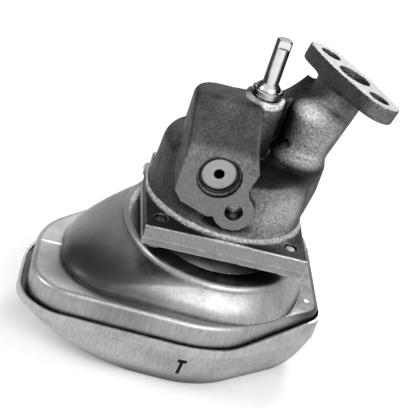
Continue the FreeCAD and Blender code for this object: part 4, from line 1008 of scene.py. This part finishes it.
@dataclass
class Casting:
    """The iron body with its machined faces and the small plug in its neck.

    Each blend is a pair of distances: up to the first one the skin keeps its shape, from the second
    one on its corners blend freely.
    """

    outlet_point: Triple = (0.0421, 0.0148, 0.008)
    outlet_normal: Triple = (0.23795045, 0.08861774, 0.96722618)
    outlet_bore_radius: float = 0.0085
    outlet_bore_depth: float = 0.014
    relief_face_y: float = -0.042
    relief_axis_x: float = -0.0173
    relief_axis_z: float = -0.0345
    relief_mouth_radius: float = 0.0106
    plate_front_y: float = -0.044
    plate_top: float = -0.067
    pad_top: float = -0.0105
    boss_top: float = -0.007
    boss_radius: float = 0.0145
    shaft_bore_radius: float = 0.0098
    pocket_x: float = -0.0035
    pocket_radius: float = 0.0314
    pocket_top: float = -0.0515
    plug_centre: Triple = (0.017, -0.0015, -0.029)
    plug_axis: Triple = (0.81, 0.586, 0.0)
    plate_blend: tuple[float, float] = (0.0004, 0.0022)
    relief_face_blend: tuple[float, float] = (0.0006, 0.003)
    relief_mouth_blend: tuple[float, float] = (0.0006, 0.002)
    outlet_face_blend: tuple[float, float] = (0.0008, 0.0035)
    outlet_bore_blend: tuple[float, float] = (0.0008, 0.002)
    pad_blend: tuple[float, float] = (0.0006, 0.0022)
    smooth_up_to: float = 38.0
    # Painted light and shade, laid under the wear: lighter barrel front, neck front and front faces where
    # light falls, darker tops and flanks by direction, and painted shade on the dome below the neck and
    # beside the boss.
    painted_shading: tuple[Patch | FacingLight, ...] = (
        Patch("barrel front, painted light", (0.024, -0.036, -0.054), (0.014, 0.012, 0.013), grey(0.34), 0.85),
        FacingLight("front faces", (0.05, -0.98, 0.1), grey(0.13), 0.9, 0.35, 0.8),
        FacingLight("tops, painted shade", (-0.25, 0.3, 0.92), grey(0.006), 0.9, 0.35, 0.8),
        FacingLight("right flanks", (0.95, 0.3, 0.0), grey(0.008), 0.75, 0.2, 0.9),
        FacingLight("left flanks", (-0.98, -0.1, 0.15), grey(0.008), 0.7, 0.3, 0.9),
        Patch("neck front, painted light", (0.0265, -0.007, -0.019), (0.015, 0.011, 0.018), grey(0.3), 0.92),
        Patch("dome below the neck", (0.03, -0.013, -0.036), (0.017, 0.014, 0.008), grey(0.004), 0.97, 0.4),
        Patch("gap beside the boss", (0.0055, 0.0, -0.033), (0.004, 0.02, 0.022), grey(0.006), 0.9),
    )
    # Painted highlights on the boss top, stay hole, neck, barrel, flange edge, barrel foot and outlet holes,
    # and painted shadows below the ear and the block, laid last; the parting line is a real dark line.
    painted_light_and_marks: tuple[Patch | FacingLight, ...] = (
        Patch("boss top", (0.001, -0.0055, -0.0078), (0.0105, 0.0078, 0.0026), grey(0.7), 0.92, 0.25),
        Patch("stay hole, wall", (-0.005, -0.0385, -0.0532), (0.0017, 0.0035, 0.0012), grey(0.95), 0.95, 0.5),
        Patch("parting line", (0.0093, -0.034, -0.0543), (0.0005, 0.01, 0.0105), grey(0.02), 0.9, 0.3),
        Patch("stay hole, end", (-0.0045, -0.0345, -0.0495), (0.0035, 0.003, 0.0035), grey(0.7), 0.95, 0.5),
        Patch("neck's shoulder", (0.0215, -0.003, -0.0075), (0.008, 0.008, 0.0045), grey(0.6), 0.9, 0.7),
        Patch("neck's foot", (0.027, -0.007, -0.0315), (0.012, 0.006, 0.0035), grey(0.4), 0.9, 0.7),
        Patch("barrel front, painted highlight", (0.022, -0.03, -0.053), (0.015, 0.014, 0.011), grey(0.36), 0.85, 0.6),
        Patch("flange's edge", (-0.0035, -0.0437, -0.0672), (0.044, 0.0016, 0.0012), grey(0.9), 0.9, 0.3),
        Patch("barrel's foot", (-0.0035, -0.002, -0.0655), (0.0425, 0.0425, 0.0022), grey(0.42), 0.85, 0.06),
        Patch("below the ear", (-0.0075, -0.037, -0.06), (0.013, 0.0055, 0.0036), grey(0.002), 1.0, 0.35),
        Patch("below the block", (-0.027, -0.033, -0.055), (0.012, 0.008, 0.0055), grey(0.002), 0.95, 0.6),
        Patch("outlet bore", (0.0412, 0.0145, 0.0045), (0.0052, 0.006, 0.005), grey(0.85), 0.95, 0.4),
        Patch("far bolt hole", (0.0313, 0.0322, 0.0057), (0.0025, 0.003, 0.004), grey(0.6), 0.9, 0.5),
        Patch("near bolt hole", (0.0519, -0.0033, 0.004), (0.0025, 0.003, 0.004), grey(0.6), 0.9, 0.5),
    )

    def faces(self) -> tuple[CutFace, ...]:
        """The relief block's front, the outlet face, the machined pad and the flange's front."""
        front, up = (0.0, -1.0, 0.0), (0.0, 0.0, 1.0)
        return (
            CutFace((0.0, self.relief_face_y, 0.0), front),
            CutFace(self.outlet_point, self.outlet_normal, 0.34),
            CutFace((0.0, 0.0, self.pad_top), up, 0.6),
            CutFace((0.0, self.plate_front_y, 0.0), front, 0.26),
        )

    @staticmethod
    def beyond(distance: np.ndarray, blend: tuple[float, float]) -> np.ndarray:
        """0 up to the near end of a blend, 1 from its far end on and even between them."""
        return np.clip((distance - blend[0]) / (blend[1] - blend[0]), 0.0, 1.0)

    def freedom(self, places: np.ndarray) -> np.ndarray:
        """How far each place may blend: not at cut faces, holes and the square flange.

        Args:
            places: corner places.

        Returns:
            One number from 0 to 1 for each place.
        """
        x, y, z = places[:, 0], places[:, 1], places[:, 2]
        free = self.beyond(z - self.plate_top, self.plate_blend)
        free *= self.beyond(y - self.relief_face_y, self.relief_face_blend)
        mouth = np.hypot(x - self.relief_axis_x, z - self.relief_axis_z)
        free *= self.beyond(mouth - self.relief_mouth_radius, self.relief_mouth_blend)
        normal = np.array(self.outlet_normal)
        arm = places - np.array(self.outlet_point)
        depth = -(arm @ normal)
        sideways = np.linalg.norm(arm + depth[:, None] * normal, axis=1)
        free *= self.beyond(depth, self.outlet_face_blend)
        bore_wall = self.beyond(np.abs(sideways - self.outlet_bore_radius), self.outlet_bore_blend)
        free *= np.where(depth < self.outlet_bore_depth, bore_wall, 1.0)
        around = np.hypot(x, y)
        pad = self.beyond(self.boss_top - z, self.pad_blend)
        free *= np.where(around < self.boss_radius, pad, 1.0)
        in_pocket = (np.hypot(x - self.pocket_x, y) < self.pocket_radius) & (z < self.pocket_top)
        return np.where((around < self.shaft_bore_radius) | in_pocket, 0.0, free)

    def build(self, effects: EffectLibrary) -> None:
        """Cast the body's skin, and dress it and its plug.

        Args:
            effects: the shared node groups.
        """
        iron = CastIron("cast_iron", grey(0.06), metallic=0.9, roughness=0.5, cut_faces=self.faces(),
                        painted_shading=self.painted_shading, painted_light_and_marks=self.painted_light_and_marks).make(effects)
        dress(iron, "pump_body")
        surface = CastSurface()
        places, faces = surface.skin(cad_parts["pump_body"], NeckForm().build())
        places = surface.blend(places, faces, self.freedom(places))
        data = bpy.data.meshes.new("cast_body")
        data.from_pydata(places.tolist(), [], faces.tolist())
        data.polygons.foreach_set("use_smooth", np.ones(len(faces), dtype=bool))
        data.set_sharp_from_angle(angle=math.radians(self.smooth_up_to))
        data.materials.append(iron)
        body = stand("cast_body", data)
        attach(body, "housing")
        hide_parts("pump_body")
        LOG.info("cast the body's skin with %d faces", len(faces))
        plug = TurnedSteel(
            "plug_steel", grey(0.6), roughness=0.28, centre=self.plug_centre, axis=self.plug_axis)
        dress(plug.make(effects), "gallery_plug")


@dataclass
class RotorGroup:
    """Everything that turns, and the bushes that it turns in."""

    eccentricity: float = 0.0035
    rotor_marks: float = 0.0009
    bronze: Colour = (0.6, 0.4, 0.2)

    def build(self, effects: EffectLibrary) -> None:
        """Dress the shaft, its collar and pin, the rotors and the bushes.

        Args:
            effects: the shared node groups.
        """
        ground = TurnedSteel("ground_steel", grey(0.72), roughness=0.22)
        collar = TurnedSteel("collar_steel", grey(0.5), roughness=0.24)
        lapped = TurnedSteel("lapped_steel", grey(0.4), roughness=0.34, pitch=self.rotor_marks)
        ring = TurnedSteel("ring_steel", grey(0.38), roughness=0.36, centre=(-self.eccentricity, 0.0, 0.0),
                           pitch=self.rotor_marks)
        bronze = TurnedSteel("bearing_bronze", self.bronze, roughness=0.3)
        dress(ground.make(effects), "drive_shaft", "rotor_pin")
        dress(collar.make(effects), "shaft_collar")
        dress(lapped.make(effects), "inner_rotor")
        dress(ring.make(effects), "outer_rotor")
        dress(bronze.make(effects), "lower_bush", "upper_bush")


@dataclass
class ReliefValve:
    """The relief valve's pieces on their cross axis."""

    axis_point: Triple = (-0.0173, -0.03, -0.0345)
    axis: Triple = (0.0, 1.0, 0.0)
    cap_marks: float = 0.0006

    def build(self, effects: EffectLibrary) -> None:
        """Dress the cap, ring, plunger and spring.

        Args:
            effects: the shared node groups.
        """
        cap = TurnedSteel("cap_steel", grey(0.36), roughness=0.36, centre=self.axis_point, axis=self.axis,
                          pitch=self.cap_marks)
        plunger = TurnedSteel(
            "plunger_steel", grey(0.6), roughness=0.22, centre=self.axis_point, axis=self.axis)
        wire = SheetSteel("spring_wire", grey(0.02), roughness=0.3)
        dress(cap.make(effects), "relief_cap")
        dress(plunger.make(effects), "relief_plunger")
        dress(wire.make(effects), "retaining_ring", "relief_spring")


@dataclass
class Cover:
    """The plate under the rotors with its screws, washers, sleeve and gasket."""

    rolled: Triple = (2.0, 30.0, 30.0)
    paper: Colour = (0.2, 0.16, 0.11)

    def build(self, effects: EffectLibrary) -> None:
        """Dress the cover's pieces.

        Args:
            effects: the shared node groups.
        """
        plate = SheetSteel("rolled_plate", grey(0.26), roughness=0.45, stretch=self.rolled)
        screw = SheetSteel("screw_steel", grey(0.22), roughness=0.38)
        paper = PaperGasket("gasket_paper", self.paper, metallic=0.0, roughness=0.8)
        dress(plate.make(effects), "cover_plate", "suction_sleeve")
        dress(screw.make(effects), "cover_screws", "screw_washers")
        dress(paper.make(effects), "hood_gasket")


@dataclass
class Pickup:
    """The stamped hood and pan with the screen between them."""

    woven: Triple = (40.0, 40.0, 40.0)
    # Painted shade on the bell's left side and front, on the right flange and on the crown's front under the
    # plate.
    painted_shading: tuple[Patch | FacingLight, ...] = (
        Patch("bell's left flank", (-0.052, -0.02, -0.09), (0.016, 0.03, 0.01), grey(0.09), 0.8, 0.8),
        Patch("bell's left foot", (-0.066, -0.036, -0.098), (0.022, 0.02, 0.009), grey(0.012), 0.95, 0.7),
        Patch("bell's front left", (-0.05, -0.045, -0.097), (0.03, 0.012, 0.007), grey(0.03), 0.85, 0.7),
        Patch("right flange", (0.052, -0.008, -0.102), (0.015, 0.042, 0.01), grey(0.05), 0.95, 0.5),
        Patch("crown's front", (0.006, -0.035, -0.0835), (0.022, 0.009, 0.0075), grey(0.012), 0.92, 0.4),
    )
    # Painted highlights on the beads of the left and right flange, and painted light on the lip's left part.
    painted_light_and_marks: tuple[Patch | FacingLight, ...] = (
        Patch("bead on the left, painted highlight", (-0.0813, -0.0182, -0.1025), (0.006, 0.001, 0.002), grey(0.8), 0.9, 0.3),
        Patch("bead on the right, painted glint", (0.0505, -0.0199, -0.1025), (0.001, 0.001, 0.002), grey(0.95), 0.9, 0.4),
        Patch("lip's left part", (-0.0195, -0.03, -0.0875), (0.016, 0.009, 0.004), grey(0.3), 0.8, 0.6),
    )

    def build(self, effects: EffectLibrary) -> None:
        """Dress the hood, the screen and the pan.

        Args:
            effects: the shared node groups.
        """
        hood = SheetSteel("drawn_hood", grey(0.32), roughness=0.38, painted_shading=self.painted_shading, painted_light_and_marks=self.painted_light_and_marks)
        pan = SheetSteel("drawn_pan", grey(0.4), roughness=0.42)
        gauze = SheetSteel("wire_gauze", grey(0.4), roughness=0.4, stretch=self.woven, grain=90.0)
        dress(hood.make(effects), "pickup_hood")
        dress(pan.make(effects), "strainer_pan", "screen_frame")
        dress(gauze.make(effects), "strainer_screen")


@dataclass(frozen=True)
class Lamp:
    """Square soft lamp: its name, where it stands, its side and its power in watts."""

    name: str
    spot: Triple
    size: float
    watts: float

    def light(self, aim: Triple) -> None:
        """Set the lamp up so that it looks at a point.

        Args:
            aim: the point.
        """
        light = bpy.data.lights.new(self.name, "AREA")
        light.shape = "SQUARE"
        light.size = self.size
        light.energy = self.watts
        lamp = stand(self.name, light)
        lamp.location = self.spot
        lamp.rotation_mode = "QUATERNION"
        lamp.rotation_quaternion = (Vector(aim) - Vector(self.spot)).to_track_quat("-Z", "Y")


@dataclass
class Studio:
    """Camera, floor, surround and lamps."""

    azimuth: float = -12.0
    elevation: float = 28.5
    roll: float = 19.0
    distance: float = 0.7
    focal_pixels: float = 1400.0
    target: Triple = (0.0, 0.0, -0.067)
    target_pixel: tuple[float, float] = (229.5, 199.5)
    sensor: float = 36.0
    floor_level: float = -0.143
    floor_gap: float = 0.0002
    floor_reach: float = 4.0
    floor_tone: float = 0.86
    glow: float = 0.18
    surround_light: float = 0.42
    aim: Triple = (0.0, 0.0, -0.07)
    lamps: tuple[Lamp, ...] = (
        Lamp("key_lamp", (0.3, -0.75, 0.45), 0.75, 7.0),
        Lamp("side_lamp", (-0.75, -0.15, 0.35), 0.3, 2.5),
        Lamp("back_lamp", (0.3, 0.7, 0.55), 0.4, 5.0),
    )

    def camera(self) -> None:
        """Place the camera at the photograph's viewing angle."""
        turn, lift, roll = (math.radians(angle) for angle in (self.azimuth, self.elevation, self.roll))
        back = Vector((math.sin(turn) * math.cos(lift), -math.cos(turn) * math.cos(lift), math.sin(lift)))
        level = Vector((math.cos(turn), math.sin(turn), 0.0))
        rise = back.cross(level)
        right = level * math.cos(roll) + rise * math.sin(roll)
        up = rise * math.cos(roll) - level * math.sin(roll)
        scale = self.distance / self.focal_pixels
        across = (self.target_pixel[0] - IMAGE_SIDE / 2) * scale
        down = (self.target_pixel[1] - IMAGE_SIDE / 2) * scale
        spot = Vector(self.target) + back * self.distance - right * across + up * down
        lens = bpy.data.cameras.new("camera")
        lens.sensor_width = self.sensor
        lens.lens = self.sensor * self.focal_pixels / IMAGE_SIDE
        camera = stand("camera", lens)
        turned = Matrix((right, up, back)).transposed()
        camera.matrix_world = Matrix.Translation(spot) @ turned.to_4x4()
        bpy.context.scene.camera = camera

    @staticmethod
    def seen_directly(graph: Graph) -> Socket:
        """1 for rays from the camera, and for those that it sends through glass or off metal.

        Args:
            graph: the graph of the floor or the surround.

        Returns:
            The socket of the result.
        """
        rays = graph.add("LightPath")
        clear = graph.maths("MAXIMUM", rays.outputs["Is Camera Ray"], rays.outputs["Is Transmission Ray"])
        return graph.maths("MAXIMUM", clear, rays.outputs["Is Glossy Ray"])

    def pale_floor(self) -> bpy.types.Material:
        """Material that looks white to the camera and in reflections, and keeps the shadow.

        Returns:
            The material.
        """
        material = bpy.data.materials.new("pale_floor")
        material.use_nodes = True
        graph = Graph(material.node_tree)
        shader = material.node_tree.nodes["Principled BSDF"]
        clouds = graph.noise(graph.place(), 6.0, 4.0)
        tone = graph.mix(clouds, grey(self.floor_tone * 0.985), grey(self.floor_tone))
        graph.feed(shader.inputs["Base Color"], tone)
        shader.inputs["Roughness"].default_value = 0.9
        shader.inputs["Specular IOR Level"].default_value = 0.1
        shader.inputs["Emission Color"].default_value = WHITE
        graph.feed(shader.inputs["Emission Strength"], graph.times(self.seen_directly(graph), self.glow))
        return material

    def floor(self) -> None:
        """Lay a wide pale floor under the pan."""
        grid = bmesh.new()
        bmesh.ops.create_grid(grid, x_segments=8, y_segments=8, size=self.floor_reach)
        floor = stand_form("floor", grid)
        floor.location = (0.0, 0.0, self.floor_level - self.floor_gap)
        floor.data.materials.append(self.pale_floor())

    def surround(self) -> None:
        """White surround for the camera and for reflections, dimmer as a light."""
        world = bpy.data.worlds.new("surround")
        bpy.context.scene.world = world
        world.use_nodes = True
        graph = Graph(world.node_tree)
        shader = world.node_tree.nodes["Background"]
        strength = graph.ramp(self.seen_directly(graph), 0.0, 1.0, self.surround_light, 1.0)
        shader.inputs["Color"].default_value = WHITE
        graph.feed(shader.inputs["Strength"], strength)

    def build(self) -> None:
        """Set up the whole studio."""
        self.camera()
        self.floor()
        self.surround()
        for lamp in self.lamps:
            lamp.light(self.aim)
        bpy.context.scene.view_settings.view_transform = "Standard"
        LOG.info("set up the studio with %d lamps", len(self.lamps))


def main() -> None:
    """Build the studio and dress every sub-assembly in order."""
    logging.basicConfig(level=logging.INFO, format="%(name)s: %(message)s")
    Studio().build()
    effects = EffectLibrary()
    for assembly in (Casting(), RotorGroup(), ReliefValve(), Cover(), Pickup()):
        assembly.build(effects)
        LOG.info("built %s", type(assembly).__name__)


if __name__ == "__main__":
    main()
